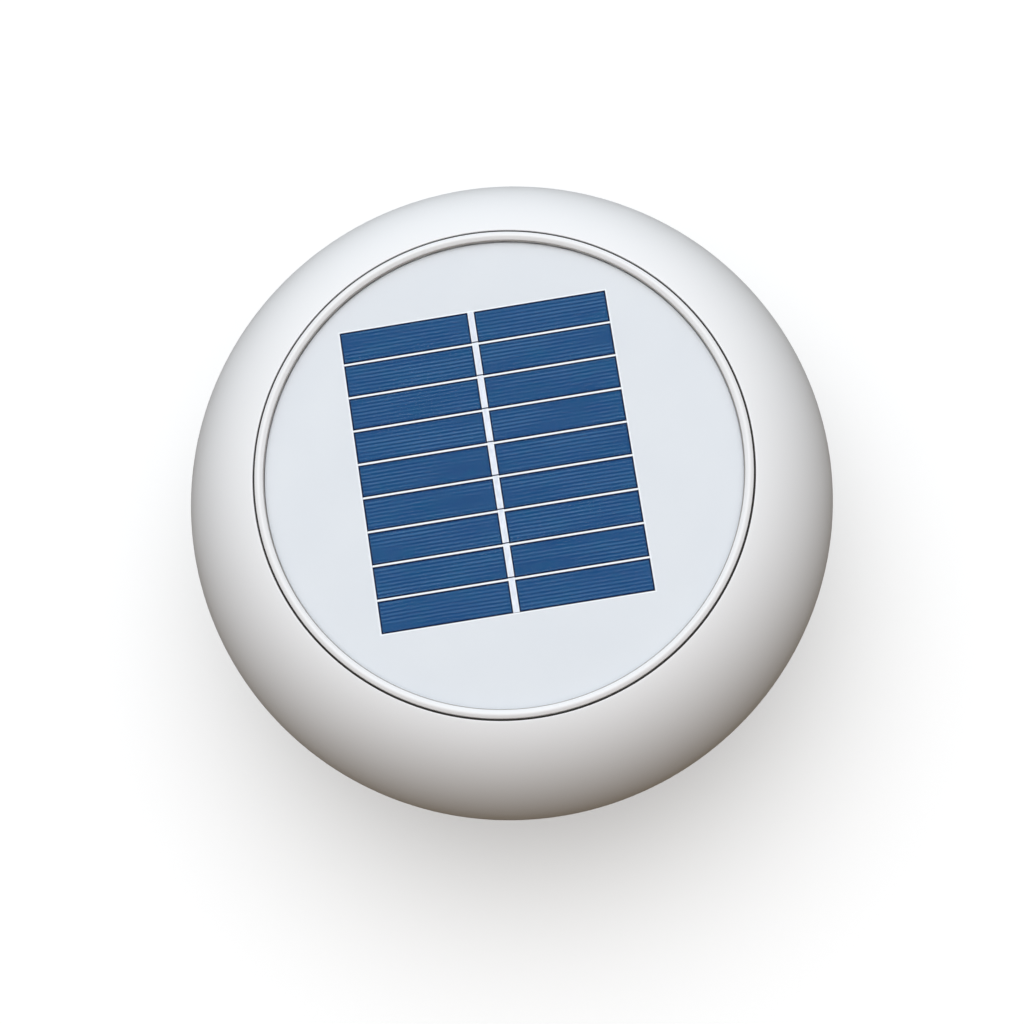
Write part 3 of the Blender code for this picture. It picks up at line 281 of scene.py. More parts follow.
def cell_paint():
    """Blue polycrystalline silicon: grains, printed fingers along each strip, and painted shade as a dark
    rim along each strip's edges and beside the ribbon.
    """
    grain_size, finger_pitch, edge_shade_width = 2.6 * MM, 1.15 * MM, 0.28 * MM
    deep, bright, cloud = (0.005, 0.056, 0.182), (0.004, 0.076, 0.200), (0.009, 0.065, 0.200)
    # The last of these colours is the painted shade along the strips' edges and the ribbon's sides
    light_line, dark_line, edge_shade = (0.046, 0.150, 0.300), (0.004, 0.036, 0.130), (0.001, 0.007, 0.036)
    paint = Paint("cell_blue", (0.035, 0.115, 0.30), 0.42, Specular_IOR_Level=0.06)
    x, y, _ = paint.axes()

    grains = paint.node("ShaderNodeTexVoronoi", feature="F1")
    grains.inputs["Scale"].default_value = 1 / grain_size
    grains.inputs["Randomness"].default_value = 1.0
    squash = paint.node("ShaderNodeMapping")
    squash.inputs["Scale"].default_value = (0.35, 1.0, 1.0)
    paint.link(paint.place, squash.inputs["Vector"])
    paint.link(squash.outputs[0], grains.inputs["Vector"])
    tone = paint.node("ShaderNodeSeparateColor")
    paint.link(grains.outputs["Color"], tone.inputs[0])
    body = paint.mix(tone.outputs[0], deep, bright)
    body = paint.mix(paint.spread(paint.noise(7 * MM, 2.0), 0.0, 1.0), body, cloud)

    # Fingers: thin lines along X, light and dark by turns, that fade in and out
    wander = paint.math("MULTIPLY", paint.math("SUBTRACT", paint.noise(30 * MM, 1.0), 0.5), 0.6 * MM)
    phase = paint.math("MULTIPLY", paint.math("ADD", y, wander), tau / finger_pitch)
    wave = paint.math("ADD", paint.math("MULTIPLY", paint.math("SINE", phase), 0.5), 0.5)
    fade = paint.spread(paint.noise(9 * MM, 2.0, (0.25, 1.6, 1)), 0.12, 1.0)
    line = paint.math("MULTIPLY", paint.math("POWER", wave, 2.0), fade, True)
    body = paint.mix(line, body, light_line)
    dip = paint.math("MULTIPLY", paint.math("POWER", paint.math("SUBTRACT", 1.0, wave), 3.0), fade, True)
    body = paint.mix(paint.math("MULTIPLY", dip, 0.7), body, dark_line)

    # Painted shade: a dark rim round each strip, by how far a point lies from the strip's edges
    along = paint.math("DIVIDE", paint.math("SUBTRACT", TOP_CELL_HIGH.y, y), CELL_PITCH)
    share = paint.math("FRACT", along)
    half_share = CELL_DEPTH / CELL_PITCH / 2
    from_middle = paint.math("ABSOLUTE", paint.math("SUBTRACT", share, half_share))
    edge_y = paint.math("MULTIPLY", paint.math("SUBTRACT", half_share, from_middle), CELL_PITCH)
    off_middle = paint.math("ABSOLUTE", paint.math("SUBTRACT", x, ARRAY_MIDDLE))
    edge_x = paint.math("SUBTRACT", CELL_WIDTH / 2, off_middle)
    edge = paint.math("MINIMUM", edge_x, edge_y)
    # and the same painted shade beside the ribbon
    beside = paint.math("ABSOLUTE", paint.math("SUBTRACT", x, RIBBON_MIDDLE))
    beside = paint.math("ABSOLUTE", paint.math("SUBTRACT", beside, RIBBON_HALF))
    edge = paint.math("MINIMUM", edge, beside)
    rim = paint.math("SUBTRACT", 2.1, paint.math("DIVIDE", edge, edge_shade_width), True)
    # Darkens the strips' edges and the ribbon's sides with painted shade
    body = paint.mix(rim, body, edge_shade)
    paint.feed("Base Color", body)
    paint.feed("Roughness", paint.spread(paint.noise(1.2 * MM), 0.36, 0.5))
    return paint.material


def solder_paint():
    """Tinned ribbon: pale and satin, greyer along its middle, with the pooled look of solder."""
    paint = Paint("tinned_ribbon", (0.72, 0.74, 0.77), 0.45, 0.2)
    across = paint.math("ABSOLUTE", paint.math("SUBTRACT", paint.axes()[0], RIBBON_MIDDLE))
    rim = paint.math("SUBTRACT", paint.math("DIVIDE", across, 0.3 * MM), 1.7, True)
    pools = paint.noise(0.9 * MM, 2.0, (1, 0.35, 1))
    paint.feed("Roughness", paint.spread(pools, 0.38, 0.55))
    body = paint.mix(paint.spread(pools, 0.0, 1.0), (0.72, 0.74, 0.79), (0.63, 0.65, 0.71))
    paint.feed("Base Color", paint.mix(rim, body, (0.92, 0.93, 0.94)))
    paint.bump(pools, 0.02 * MM)
    return paint.material


def foam_paint():
    """Closed-cell foam rubber: small cells over a matt black body."""
    paint = Paint("black_foam", (0.028, 0.028, 0.030), 0.85)
    cells = paint.node("ShaderNodeTexVoronoi", feature="F1")
    cells.inputs["Scale"].default_value = 1 / (0.7 * MM)
    paint.link(paint.place, cells.inputs["Vector"])
    body = paint.mix(cells.outputs["Distance"], (0.018, 0.018, 0.020), (0.048, 0.048, 0.050))
    paint.feed("Base Color", body)
    paint.bump(cells.outputs["Distance"], 0.12 * MM)
    return paint.material


def board_paint():
    """Green circuit board with copper tracks under its mask."""
    paint = Paint("circuit_board", (0.015, 0.14, 0.05), 0.35)
    brick = paint.node("ShaderNodeTexBrick")
    brick.inputs["Scale"].default_value = 180
    brick.inputs["Mortar Size"].default_value = 0.05
    brick.inputs["Color1"].default_value = (0.012, 0.12, 0.045, 1)
    brick.inputs["Color2"].default_value = (0.016, 0.145, 0.055, 1)
    brick.inputs["Mortar"].default_value = (0.05, 0.22, 0.09, 1)
    paint.link(paint.place, brick.inputs["Vector"])
    paint.feed("Base Color", brick.outputs["Color"])
    paint.bump(brick.outputs["Fac"], 0.03 * MM)
    return paint.material


def twin_paint(name, middle):
    """A red core and a black core, side by side: red on the +X side of the lead's middle."""
    red, black = (0.45, 0.02, 0.02), (0.022, 0.022, 0.024)
    paint = Paint(name, red, 0.5)
    side = paint.math("GREATER_THAN", paint.axes()[0], middle)
    paint.feed("Base Color", paint.mix(side, black, red))
    paint.bump(paint.noise(0.5 * MM), 0.01 * MM)
    return paint.material


WHITE_SHELL = shell_paint()
WHITE_SHEET = sheet_paint()
WHITE_LINES = moulded("white_lines", (0.93, 0.94, 0.95), (0.5, 0.6))
CLEAR = lens_paint()
CELL_BLUE = cell_paint()
SOLDER = solder_paint()
FOAM = foam_paint()
BOND_GREY = moulded("bond_grey", (0.36, 0.34, 0.325), (0.5, 0.65))
# Near-black, darker than the seal's foam: painted shade for the deep seam round the bezel
SEAM_SHADE = moulded("seam_shade", (0.012, 0.008, 0.006), (0.6, 0.75))
BOARD = board_paint()
WHITE_BASE = moulded("white_base", (0.76, 0.76, 0.755), (0.42, 0.56))
BLACK_PLASTIC = moulded("black_plastic", (0.026, 0.026, 0.028), (0.38, 0.55))
GREY_FAN = moulded("grey_fan", (0.115, 0.122, 0.130), (0.36, 0.52))
CAN_STEEL = metal("can_steel", (0.63, 0.63, 0.64), (0.24, 0.40), 0.7 * MM, (1, 1, 0.12))
SCREW_STEEL = metal("screw_steel", (0.60, 0.60, 0.61), (0.25, 0.42), 0.3 * MM)
BRASS = metal("brass", (0.78, 0.57, 0.27), (0.25, 0.42))
COPPER = metal("copper", (0.80, 0.38, 0.22), (0.25, 0.42))
FERRITE = moulded("ferrite", (0.075, 0.075, 0.08), (0.6, 0.8), 0.2 * MM)
WRAP = moulded("battery_wrap", (0.04, 0.21, 0.42), (0.28, 0.40), 4 * MM, 0.03 * MM)
WIRE_MESH = metal("wire_mesh", (0.34, 0.35, 0.36), (0.35, 0.5))
MARK = moulded("switch_mark", (0.78, 0.78, 0.76), (0.45, 0.55))


# ---- mesh tools
def finish_piece(obj, paint, body, stands_for=(), sharp=35):
    """Smooths and paints a piece, and lets it ride on a body in place of CAD nodes."""
    obj.data.materials.clear()
    obj.data.materials.append(paint)
    obj.data.shade_smooth()
    obj.data.set_sharp_from_angle(angle=radians(sharp))
    if stands_for:
        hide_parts(*stands_for)
    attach(obj, body)


def from_bmesh(name, work):
    """A new object in the scene, with its faces turned outwards; the working mesh is used up."""
    bmesh.ops.recalc_face_normals(work, faces=work.faces)
    mesh = bpy.data.meshes.new(name)
    work.to_mesh(mesh)
    work.free()
    obj = bpy.data.objects.new(name, mesh)
    bpy.context.scene.collection.objects.link(obj)
    return obj


def rounded(corners, steps=5):
    """A closed outline from (x, y, radius) corners, each rounded by its radius."""
    points = []
    count = len(corners)
    for k, (x, y, radius) in enumerate(corners):
        here = Vector((x, y))
        before = Vector(corners[k - 1][:2]) - here
        after = Vector(corners[(k + 1) % count][:2]) - here
        if radius <= 0:
            points.append(here)
            continue
        reach = min(before.length, after.length) * 0.49
        turn = before.angle(after)
        cut_back = min(radius / tan(turn / 2), reach)
        a, b = here + before.normalized() * cut_back, here + after.normalized() * cut_back
        for s in range(steps + 1):
            t = s / steps
            points.append(a.lerp(here, t).lerp(here.lerp(b, t), t))
    return [tuple(p) for p in points]


def loft(work, rings):
    """Adds a closed body through rings of as many points each."""
    for near, far in zip(rings, rings[1:]):
        for k in range(len(near)):
            i = (k + 1) % len(near)
            work.faces.new((near[k], near[i], far[i], far[k]))
    work.faces.new(rings[0])
    work.faces.new(rings[-1])
    return work


def around(count, start=0.0):
    """Angles spaced evenly round a circle."""
    return [start + tau * k / count for k in range(count)]


def polar(radius, angle):
    return (radius * cos(angle), radius * sin(angle))


def lathe(work, profile, sides, middle=(0, 0)):
    """Adds a closed profile of (radius, z) turned about an upright axis."""
    rings = []
    for a in around(sides):
        ring = []
        for r, z in profile:
            ring.append(work.verts.new((middle[0] + r * cos(a), middle[1] + r * sin(a), z)))
        rings.append(ring)
    count = len(profile)
    for near, far in zip(rings, rings[1:] + rings[:1]):
        for j in range(count):
            i = (j + 1) % count
            work.faces.new((near[j], far[j], far[i], near[i]))
    bmesh.ops.remove_doubles(work, verts=[v for ring in rings for v in ring], dist=1e-7)
    return work


def turned(name, corners, sides=ROUND, steps=5):
    """A new piece turned about the vent's axis, from (radius, z, corner radius) corners."""
    return from_bmesh(name, lathe(bmesh.new(), rounded(corners, steps), sides))


def prism(work, outline, low, high):
    """Adds an upright prism on an outline of (x, y)."""
    return loft(work, [[work.verts.new((x, y, z)) for x, y in outline] for z in (low, high)])


def rectangle(middle, width, depth, radius=0.0, steps=5):
    """A rectangle's outline as (x, y), with rounded corners."""
    x, y = middle
    signs = ((-1, -1), (1, -1), (1, 1), (-1, 1))
    return rounded([(x + sx * width / 2, y + sy * depth / 2, radius) for sx, sy in signs], steps)


def block(work, size, place):
    """Adds a box of that size, put in place by a matrix."""
    bmesh.ops.create_cube(work, size=1, matrix=place @ Matrix.Diagonal((*size, 1)))
    return work


def settled(obj):
    """The object with its modifiers applied."""
    bpy.context.view_layer.update()
    graph = bpy.context.evaluated_depsgraph_get()
    mesh = bpy.data.meshes.new_from_object(obj.evaluated_get(graph))
    obj.modifiers.clear()
    old = obj.data
    obj.data = mesh
    mesh.name = old.name
    bpy.data.meshes.remove(old)
    return obj


def cut(obj, cutter):
    """Cuts a piece with another, which is used up."""
    step = obj.modifiers.new("cut", "BOOLEAN")
    step.operation = "DIFFERENCE"
    step.solver = "EXACT"
    step.object = cutter
    settled(obj)
    bpy.data.objects.remove(cutter)


def softened(obj, width, segments=2):
    """Rounds the sharp edges of a piece."""
    step = obj.modifiers.new("soften", "BEVEL")
    step.width = width
    step.segments = segments
    step.limit_method = "ANGLE"
    step.angle_limit = radians(35)
    step.use_clamp_overlap = True


def window_prisms(name, low, high):
    """Cutters for the damper's windows: pieces of a ring with rounded corners."""
    work = bmesh.new()
    steps, outer_round, inner_round = 6, 1.2 * MM, 0.8 * MM
    turns = [WINDOW_HALF_ANGLE * (2 * k / steps - 1) for k in range(steps + 1)]
    for middle in around(WINDOWS):
        far = [polar(WINDOW_OUTER, middle + t) for t in turns]
        near = [polar(WINDOW_INNER, middle - t) for t in turns]
        corners = [(*p, outer_round if k in (0, steps) else 0) for k, p in enumerate(far)]
        corners += [(*p, inner_round if k in (0, steps) else 0) for k, p in enumerate(near)]
        prism(work, rounded(corners, 4), low, high)
    return from_bmesh(name, work)


# ---- dome
def side_points(offset, start_radius, end_z, steps):
    """The dome's side as corners, an offset inside its surface, from the pocket down to the lip."""
    width = DOME_RADIUS - CURVE_CENTRE - offset
    first = acos((start_radius - CURVE_CENTRE) / width)
    last = -asin((EQUATOR_Z - end_z) / (LOWER_HEIGHT - offset))
    points = []
    for k in range(steps + 1):
        angle = first + (last - first) * k / steps
        height = (UPPER_HEIGHT if angle > 0 else LOWER_HEIGHT) - offset
        points.append((CURVE_CENTRE + width * cos(angle), EQUATOR_Z + height * sin(angle), 0))
    return points


def dome():
    """The moulded cover: a thin shell with a deck in its top and pins under the deck."""
    lip = DOME_LOW.z
    under_deck = DECK_TOP - DECK_THICKNESS
    inner_wall = POCKET_RADIUS + DOME_WALL
    outside = side_points(0, POCKET_RADIUS + 0.05 * MM, lip, 56)
    inside = side_points(DOME_WALL, inner_wall, lip, 30)
    outside[0] = (*outside[0][:2], 0.35 * MM)
    outside[-1] = (*outside[-1][:2], 0.9 * MM)
    inside[-1] = (*inside[-1][:2], 0.5 * MM)
    corners = [
        (DECK_HOLE, DECK_TOP, 0.3 * MM),
        (POCKET_RADIUS, DECK_TOP, 0.3 * MM),
        *outside,
        *reversed(inside),
        (inner_wall, under_deck, 0),
        (DECK_HOLE, under_deck, 0.3 * MM),
    ]
    work = lathe(bmesh.new(), rounded(corners), ROUND)
    # Pins under the deck: with a shoulder for the charge board, plain for the battery holder
    board_low, board_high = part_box("charge_board")
    holder_low, holder_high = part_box("battery_holder")
    board_y, holder_y = (board_low.y + board_high.y) / 2, holder_low.y + 3.05 * MM
    board_tip, holder_tip = board_low.z - 1.2 * MM, holder_high.z - 4.2 * MM
    pin, shoulder, shoulder_z = 1.4 * MM, 2.7 * MM, board_high.z + 0.3 * MM
    root = under_deck + 1 * MM
    for x in (-22 * MM, 22 * MM):
        corners = [(0, board_tip, 0), (pin, board_tip, 0.3 * MM), (pin, shoulder_z, 0)]
        corners += [(shoulder, shoulder_z, 0.3 * MM), (shoulder, root, 0), (0, root, 0)]
        lathe(work, rounded(corners, 3), PIN_ROUND, (x, board_y))
        corners = [(0, holder_tip, 0), (pin, holder_tip, 0.3 * MM), (pin, root, 0), (0, root, 0)]
        lathe(work, rounded(corners, 3), PIN_ROUND, (x, holder_y))
    piece = from_bmesh("dome_cover", work)
    finish_piece(piece, WHITE_SHELL, "housing", ["dome_shell"], 40)


# ---- solar module
def module():
    """The round solar module in the dome's pocket, with its bezel and gasket."""
    inner, outer = LENS_HIGH.x + 0.38 * MM, BEZEL_HIGH.x - 0.05 * MM
    foot, top = BEZEL_LOW.z, BEZEL_HIGH.z
    # The bead is a low arch, with its foot in the seam
    corners = [
        (inner, LENS_HIGH.z + 0.25 * MM, 0.3 * MM),
        ((inner + outer) / 2, top - 0.2 * MM, 2.6 * MM),
        (outer, SEAM_Z + 0.3 * MM, 0.45 * MM),
        (outer, foot, 0.2 * MM),
        (inner, foot, 0.2 * MM),
    ]
    ring = turned("bezel_bead", corners, steps=8)
    finish_piece(ring, WHITE_SHELL, "housing", ["bezel_ring"], 50)

    edge = LENS_HIGH.x + 0.1 * MM
    corners = [
        (0, LENS_HIGH.z, 0),
        (edge, LENS_HIGH.z, 0.25 * MM),
        (edge, LENS_LOW.z, 0.1 * MM),
        (0, LENS_LOW.z, 0),
    ]
    lens = turned("clear_window", corners)
    finish_piece(lens, CLEAR, "housing", ["window_lens"], 30)

    # A grey bond line in the joint between window and bezel
    bond_inner, bond_outer = edge + 0.02 * MM, inner - 0.02 * MM
    bond_top = LENS_HIGH.z - 0.15 * MM
    corners = [
        (bond_inner, LENS_LOW.z, 0),
        (bond_outer, LENS_LOW.z, 0),
        (bond_outer, bond_top, 0.05 * MM),
        (bond_inner, bond_top, 0.05 * MM),
    ]
    bond = turned("bond_line", corners)
    finish_piece(bond, BOND_GREY, "housing", (), 40)

    # The white sheet lies level with the cells, which sit in a shallow pocket
    low, level = SHEET_LOW.z, TOP_CELL_HIGH.z - 0.03 * MM
    sheet = turned("white_sheet", [(0, level, 0), (edge, level, 0.1 * MM), (edge, low, 0), (0, low, 0)])
    spare, headroom = 0.06 * MM, 5 * MM
    pocket_low = Vector((TOP_CELL_LOW.x - spare, END_CELL_LOW.y - spare, SHEET_HIGH.z))
    pocket_high = Vector((TOP_CELL_HIGH.x + spare, TOP_CELL_HIGH.y + spare, level + headroom))
    centre = Matrix.Translation((pocket_low + pocket_high) / 2)
    pocket = from_bmesh("pocket", block(bmesh.new(), pocket_high - pocket_low, centre))
    cut(sheet, pocket)
    finish_piece(sheet, WHITE_SHEET, "housing", ["backsheet"], 50)

    # One ribbon on each strip: it starts over the gap above and stops short of the strip's lower edge
    work = bmesh.new()
    thickness, sides = 0.14 * MM, 8
    bottom = TOP_CELL_HIGH.z + 0.02 * MM
    over_gap, short_of_edge, at_array_end = 0.75 * MM, 0.42 * MM, 0.05 * MM
    arch = [2 * j / sides - 1 for j in range(sides + 1)]
    outline = [(a, thickness * sqrt(1 - a**4)) for a in arch] + [(1, -0.01 * MM), (-1, -0.01 * MM)]
    for k in range(CELLS):
        upper = TOP_CELL_HIGH.y - k * CELL_PITCH
        far = upper + (over_gap if k else at_array_end)
        near = upper - CELL_DEPTH + (short_of_edge if k < CELLS - 1 else at_array_end)
        rings = []
        for y in (far, far - 0.3 * MM, near + 0.3 * MM, near):
            places = [(RIBBON_MIDDLE + a * RIBBON_HALF, y, bottom + up) for a, up in outline]
            rings.append([work.verts.new(place) for place in places])
        loft(work, rings)
    ribbons = from_bmesh("tab_ribbons", work)
    finish_piece(ribbons, SOLDER, "housing", ["busbar_ribbon"], 60)

    # The white sheet swells up between the strips
    work = bmesh.new()
    gap = CELL_PITCH - CELL_DEPTH
    rise = level - SHEET_HIGH.z
    for k in range(1, CELLS):
        y = TOP_CELL_HIGH.y - k * CELL_PITCH + gap / 2
        place = Matrix.Translation((ARRAY_MIDDLE, y, SHEET_HIGH.z + rise / 2))
        block(work, (CELL_WIDTH, 0.8 * gap, rise), place)
    # and stands up a little round the pocket
    rim, height = 0.4 * MM, 0.06 * MM
    width, depth = pocket_high.x - pocket_low.x, pocket_high.y - pocket_low.y
    middle_y = (pocket_low.y + pocket_high.y) / 2
    for side in (-1, 1):
        x = ARRAY_MIDDLE + side * (width + rim) / 2
        y = middle_y + side * (depth + rim) / 2
        block(work, (rim, depth + 2 * rim, height), Matrix.Translation((x, middle_y, level)))
        block(work, (width, rim, height), Matrix.Translation((ARRAY_MIDDLE, y, level)))
    ridges = from_bmesh("sheet_ridges", work)
    finish_piece(ridges, WHITE_LINES, "housing", (), 30)

    for k in range(1, CELLS + 1):
        paint_node(f"solar_cell_{k}", CELL_BLUE)
    paint_node("module_tray", WHITE_BASE)

    # The gasket under the tray has a lip that stands in the seam round the bezel; both are painted
    # near-black, as painted shade for the deep seam
    seal_low, seal_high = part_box("module_seal")
    seal_inner, lip_inner = seal_high.x - 2.5 * MM, seal_high.x + 0.03 * MM
    lip_outer, lip_top = POCKET_RADIUS - 0.03 * MM, SEAM_Z - 0.55 * MM
    corners = [
        (seal_inner, seal_low.z, 0.2 * MM),
        (lip_outer, seal_low.z, 0.1 * MM),
        (lip_outer, lip_top, 0.1 * MM),
        (lip_inner, lip_top, 0.1 * MM),
        (lip_inner, seal_high.z, 0.05 * MM),
        (seal_inner, seal_high.z, 0.2 * MM),
    ]
    gasket = turned("seam_shade_lip", corners)
    finish_piece(gasket, SEAM_SHADE, "housing", ["module_seal"], 40)


# ---- base
def base():
    """Flange, collar and duct wall with their uprights, and the foam ring under the flange."""
    ledge_low, ledge_top, ledge_inner = 20.7 * MM, 23.5 * MM, 50.2 * MM
    flange = 90.0 * MM
    corners = [
        (COLLAR_INNER, DUCT_TOP, 0.4 * MM),
        (COLLAR_OUTER, DUCT_TOP, 0.6 * MM),
        (COLLAR_OUTER, FLANGE_TOP, 1.2 * MM),
        (flange, FLANGE_TOP, 1.4 * MM),
        (flange, FLANGE_Z, 0.5 * MM),
        (COLLAR_OUTER, FLANGE_Z, 0.5 * MM),
        (COLLAR_OUTER, 0, 0.9 * MM),
        (COLLAR_INNER, 0, 0.9 * MM),
        (COLLAR_INNER, ledge_low, 0),
        (ledge_inner, ledge_low, 0.4 * MM),
        (ledge_inner, ledge_top, 0.4 * MM),
        (COLLAR_INNER, ledge_top, 0),
    ]
    body = turned("roof_base", corners)
    cutters = bmesh.new()
    hole_low, hole_high = FLANGE_Z - 2 * MM, FLANGE_TOP + 0.3 * MM
    sink = [(0, hole_low), (ROOF_HOLE_RADIUS, hole_low), (ROOF_HOLE_RADIUS, FLANGE_TOP - 1.0 * MM)]
    sink += [(3.9 * MM, hole_high), (0, hole_high)]
    for a in around(ROOF_HOLES, pi / ROOF_HOLES):
        lathe(cutters, sink, SMALL_ROUND, polar(ROOF_HOLE_CIRCLE, a))
    cut(body, from_bmesh("roof_holes", cutters))

    # Four pillars for the cover, with their screw holes, and three posts for the motor bracket
    uprights = bmesh.new()
    sunk, foot_top = FLANGE_TOP - 0.8 * MM, FLANGE_TOP + 0.2 * MM
    pillar_top, post_top = BASE_HIGH.z, DUCT_TOP - 0.2 * MM
    hole, hole_end = 1.8 * MM, pillar_top - 18 * MM
    pillar = [(0, sunk, 0), (6.2 * MM, sunk, 0), (6.2 * MM, foot_top, 0.2 * MM)]
    pillar += [(4.8 * MM, FLANGE_TOP + 3 * MM, 2 * MM), (4.4 * MM, pillar_top, 0.4 * MM)]
    pillar += [(hole, pillar_top, 0.3 * MM), (hole, hole_end, 0), (0, hole_end, 0)]
    for a in around(4, pi / 4):
        lathe(uprights, rounded(pillar), PILLAR_ROUND, polar(PILLAR_CIRCLE, a))
    post = [(0, sunk, 0), (4.9 * MM, sunk, 0), (4.9 * MM, foot_top, 0.2 * MM)]
    post += [(4.2 * MM, FLANGE_TOP + 1.5 * MM, 0.8 * MM), (4.2 * MM, post_top, 0.4 * MM), (0, post_top, 0)]
    for a in around(3):
        lathe(uprights, rounded(post), PILLAR_ROUND, polar(POST_CIRCLE, a))
    # Low ribs on the flange, from the duct wall outwards
    ribs, rib_size, rib_middle = 12, (21.5 * MM, 1.4 * MM, 1.4 * MM), 66.5 * MM
    for a in around(ribs, pi / ribs):
        place = Matrix.Translation((rib_middle, 0, FLANGE_TOP + 0.5 * MM))
        block(uprights, rib_size, Matrix.Rotation(a, 4, "Z") @ place)
    extra = from_bmesh("roof_base_uprights", uprights)
    finish_piece(extra, WHITE_BASE, "housing", ())
    softened(extra, 0.25 * MM)
    finish_piece(body, WHITE_BASE, "housing", ["base_flange"])

    low, high = GASKET_LOW.z, GASKET_HIGH.z
    inner, outer = COLLAR_OUTER + 0.3 * MM, GASKET_HIGH.x
    # Foam bulges a little at its free edges
    corners = [
        (inner, low, 0.2 * MM),
        (outer, low, 0.6 * MM),
        (outer + 0.35 * MM, (low + high) / 2, 1.2 * MM),
        (outer, high, 0.6 * MM),
        (inner, high, 0.2 * MM),
    ]
    gasket = turned("foam_gasket", corners)
    cutters = bmesh.new()
    hole_low, hole_high = low - 1 * MM, high + 1 * MM
    hole = [(0, hole_low), (ROOF_HOLE_RADIUS, hole_low), (ROOF_HOLE_RADIUS, hole_high), (0, hole_high)]
    for a in around(ROOF_HOLES, pi / ROOF_HOLES):
        lathe(cutters, hole, SMALL_ROUND, polar(ROOF_HOLE_CIRCLE, a))
    cut(gasket, from_bmesh("gasket_holes", cutters))
    finish_piece(gasket, FOAM, "housing", ["roof_gasket"])


def guard():
    """A ring with rounded slots through it, which leave upright bars."""
    low, high = GUARD_LOW.z, GUARD_HIGH.z
    outer, inner, bars = 84.0 * MM, 82.0 * MM, 28
    corners = [(inner, low, 0), (outer, low, 0.3 * MM), (outer, high, 0.7 * MM), (inner, high, 0.7 * MM)]
    ring = turned("guard_ring", corners, bars * 8)
    slots = bmesh.new()
    slot_low, slot_high = low + 1.8 * MM, high - 3.0 * MM
    outline = rectangle((0, (slot_low + slot_high) / 2), 13.0 * MM, slot_high - slot_low, 2.0 * MM)
    for a in around(bars, pi / bars):
        turn = Matrix.Rotation(a, 4, "Z")
        rings = []
        for reach in (inner - 4 * MM, outer + 4 * MM):
            rings.append([slots.verts.new(turn @ Vector((reach, y, z))) for y, z in outline])
        loft(slots, rings)
    cut(ring, from_bmesh("guard_slots", slots))
    softened(ring, 0.3 * MM)
    finish_piece(ring, WHITE_BASE, "housing", ["outlet_guard"])


def screen():
    """The screen's frame is a CAD node; this is the fine mesh moulded into it."""
    softened(nodes["insect_screen"], 0.2 * MM)
    paint_node("insect_screen", GREY_FAN)
    pitch, thickness, reach, hole = 1.5 * MM, 0.14 * MM, 47.6 * MM, 5.6 * MM
    middle = (SCREEN_LOW.z + SCREEN_HIGH.z) / 2
    count = int(reach / pitch)
    work = bmesh.new()
    for across in (0, 1):
        for k in range(-count, count + 1):
            offset = k * pitch
            half = sqrt(reach**2 - offset**2)
            spans = [(-half, half)]
            if abs(offset) < hole:
                gap = sqrt(hole**2 - offset**2)
                spans = [(-half, -gap), (gap, half)]
            for start, end in spans:
                rings = []
                for j in range(round(start / pitch), round(end / pitch) + 1):
                    # Each wire passes over and under those that cross it
                    lift = thickness * (0.5 if (j + k + across) % 2 else -0.5)
                    ring = []
                    for side, up in ((-1, 0), (0, 1), (1, 0), (0, -1)):
                        p = (j * pitch, offset + side * thickness / 2, middle + lift + up * thickness / 2)
                        ring.append(work.verts.new((p[1], p[0], p[2]) if across else p))
                    rings.append(ring)
                loft(work, rings)
    mesh = from_bmesh("screen_mesh", work)
    finish_piece(mesh, WIRE_MESH, "housing", (), 80)


# ---- damper and switch
def damper():
    """The seat in the collar's lower end, and the shutter that turns under it."""
    web_low, web_top = SEAT_LOW.z + 2.5 * MM, SEAT_LOW.z + 4.5 * MM
    ring_inner, ring_outer = 49.5 * MM, SEAT_HIGH.x
    hub_outer, hub_inner = 14.6 * MM, 12.9 * MM
    corners = [
        (ring_inner, SEAT_HIGH.z, 0.3 * MM),
        (ring_outer, SEAT_HIGH.z, 0.3 * MM),
        (ring_outer, web_low, 0.3 * MM),
        (hub_outer, web_low, 0),
        (hub_outer, SEAT_LOW.z, 0.2 * MM),
        (hub_inner, SEAT_LOW.z, 0.2 * MM),
        (hub_inner, web_top, 0.3 * MM),
        (ring_inner, web_top, 0.8 * MM),
    ]
    seat = turned("seat_plate", corners, MEDIUM_ROUND)
    windows = window_prisms("seat_windows", web_low - 1 * MM, web_top + 1 * MM)
    cut(seat, windows)
    softened(seat, 0.2 * MM)
    finish_piece(seat, WHITE_BASE, "housing", ["damper_seat"])

    low, high = SHUTTER_HIGH.z - 2.0 * MM, SHUTTER_HIGH.z
    corners = [
        (hub_outer + 0.3 * MM, low, 0.3 * MM),
        (SHUTTER_HIGH.x, low, 0.6 * MM),
        (SHUTTER_HIGH.x, high, 0.3 * MM),
        (hub_outer + 0.3 * MM, high, 0.3 * MM),
    ]
    shutter = turned("shutter_plate", corners, MEDIUM_ROUND)
    windows = window_prisms("shutter_windows", low - 1 * MM, high + 1 * MM)
    cut(shutter, windows)
    softened(shutter, 0.2 * MM)
    finish_piece(shutter, WHITE_BASE, "shutter", ["damper_shutter"])
    # Two finger ridges, each thinner and a little shorter towards its tip
    work = bmesh.new()
    root, middle = low + 0.4 * MM, 37 * MM
    for a in (pi / WINDOWS, pi + pi / WINDOWS):
        turn = Matrix.Rotation(a, 4, "Z")
        rings = []
        for share, width in ((0, 3.0), (0.35, 2.8), (0.75, 2.3), (0.95, 1.7), (1, 1.0)):
            z = root - (root - SHUTTER_LOW.z) * share
            length = (20.0 - 3.2 * share**3) * MM
            outline = rectangle((middle, 0), length, width * MM, 0.45 * width * MM, 4)
            rings.append([work.verts.new(turn @ Vector((x, y, z))) for x, y in outline])
        loft(work, rings)
    grips = from_bmesh("shutter_grips", work)
    finish_piece(grips, WHITE_BASE, "shutter", (), 50)


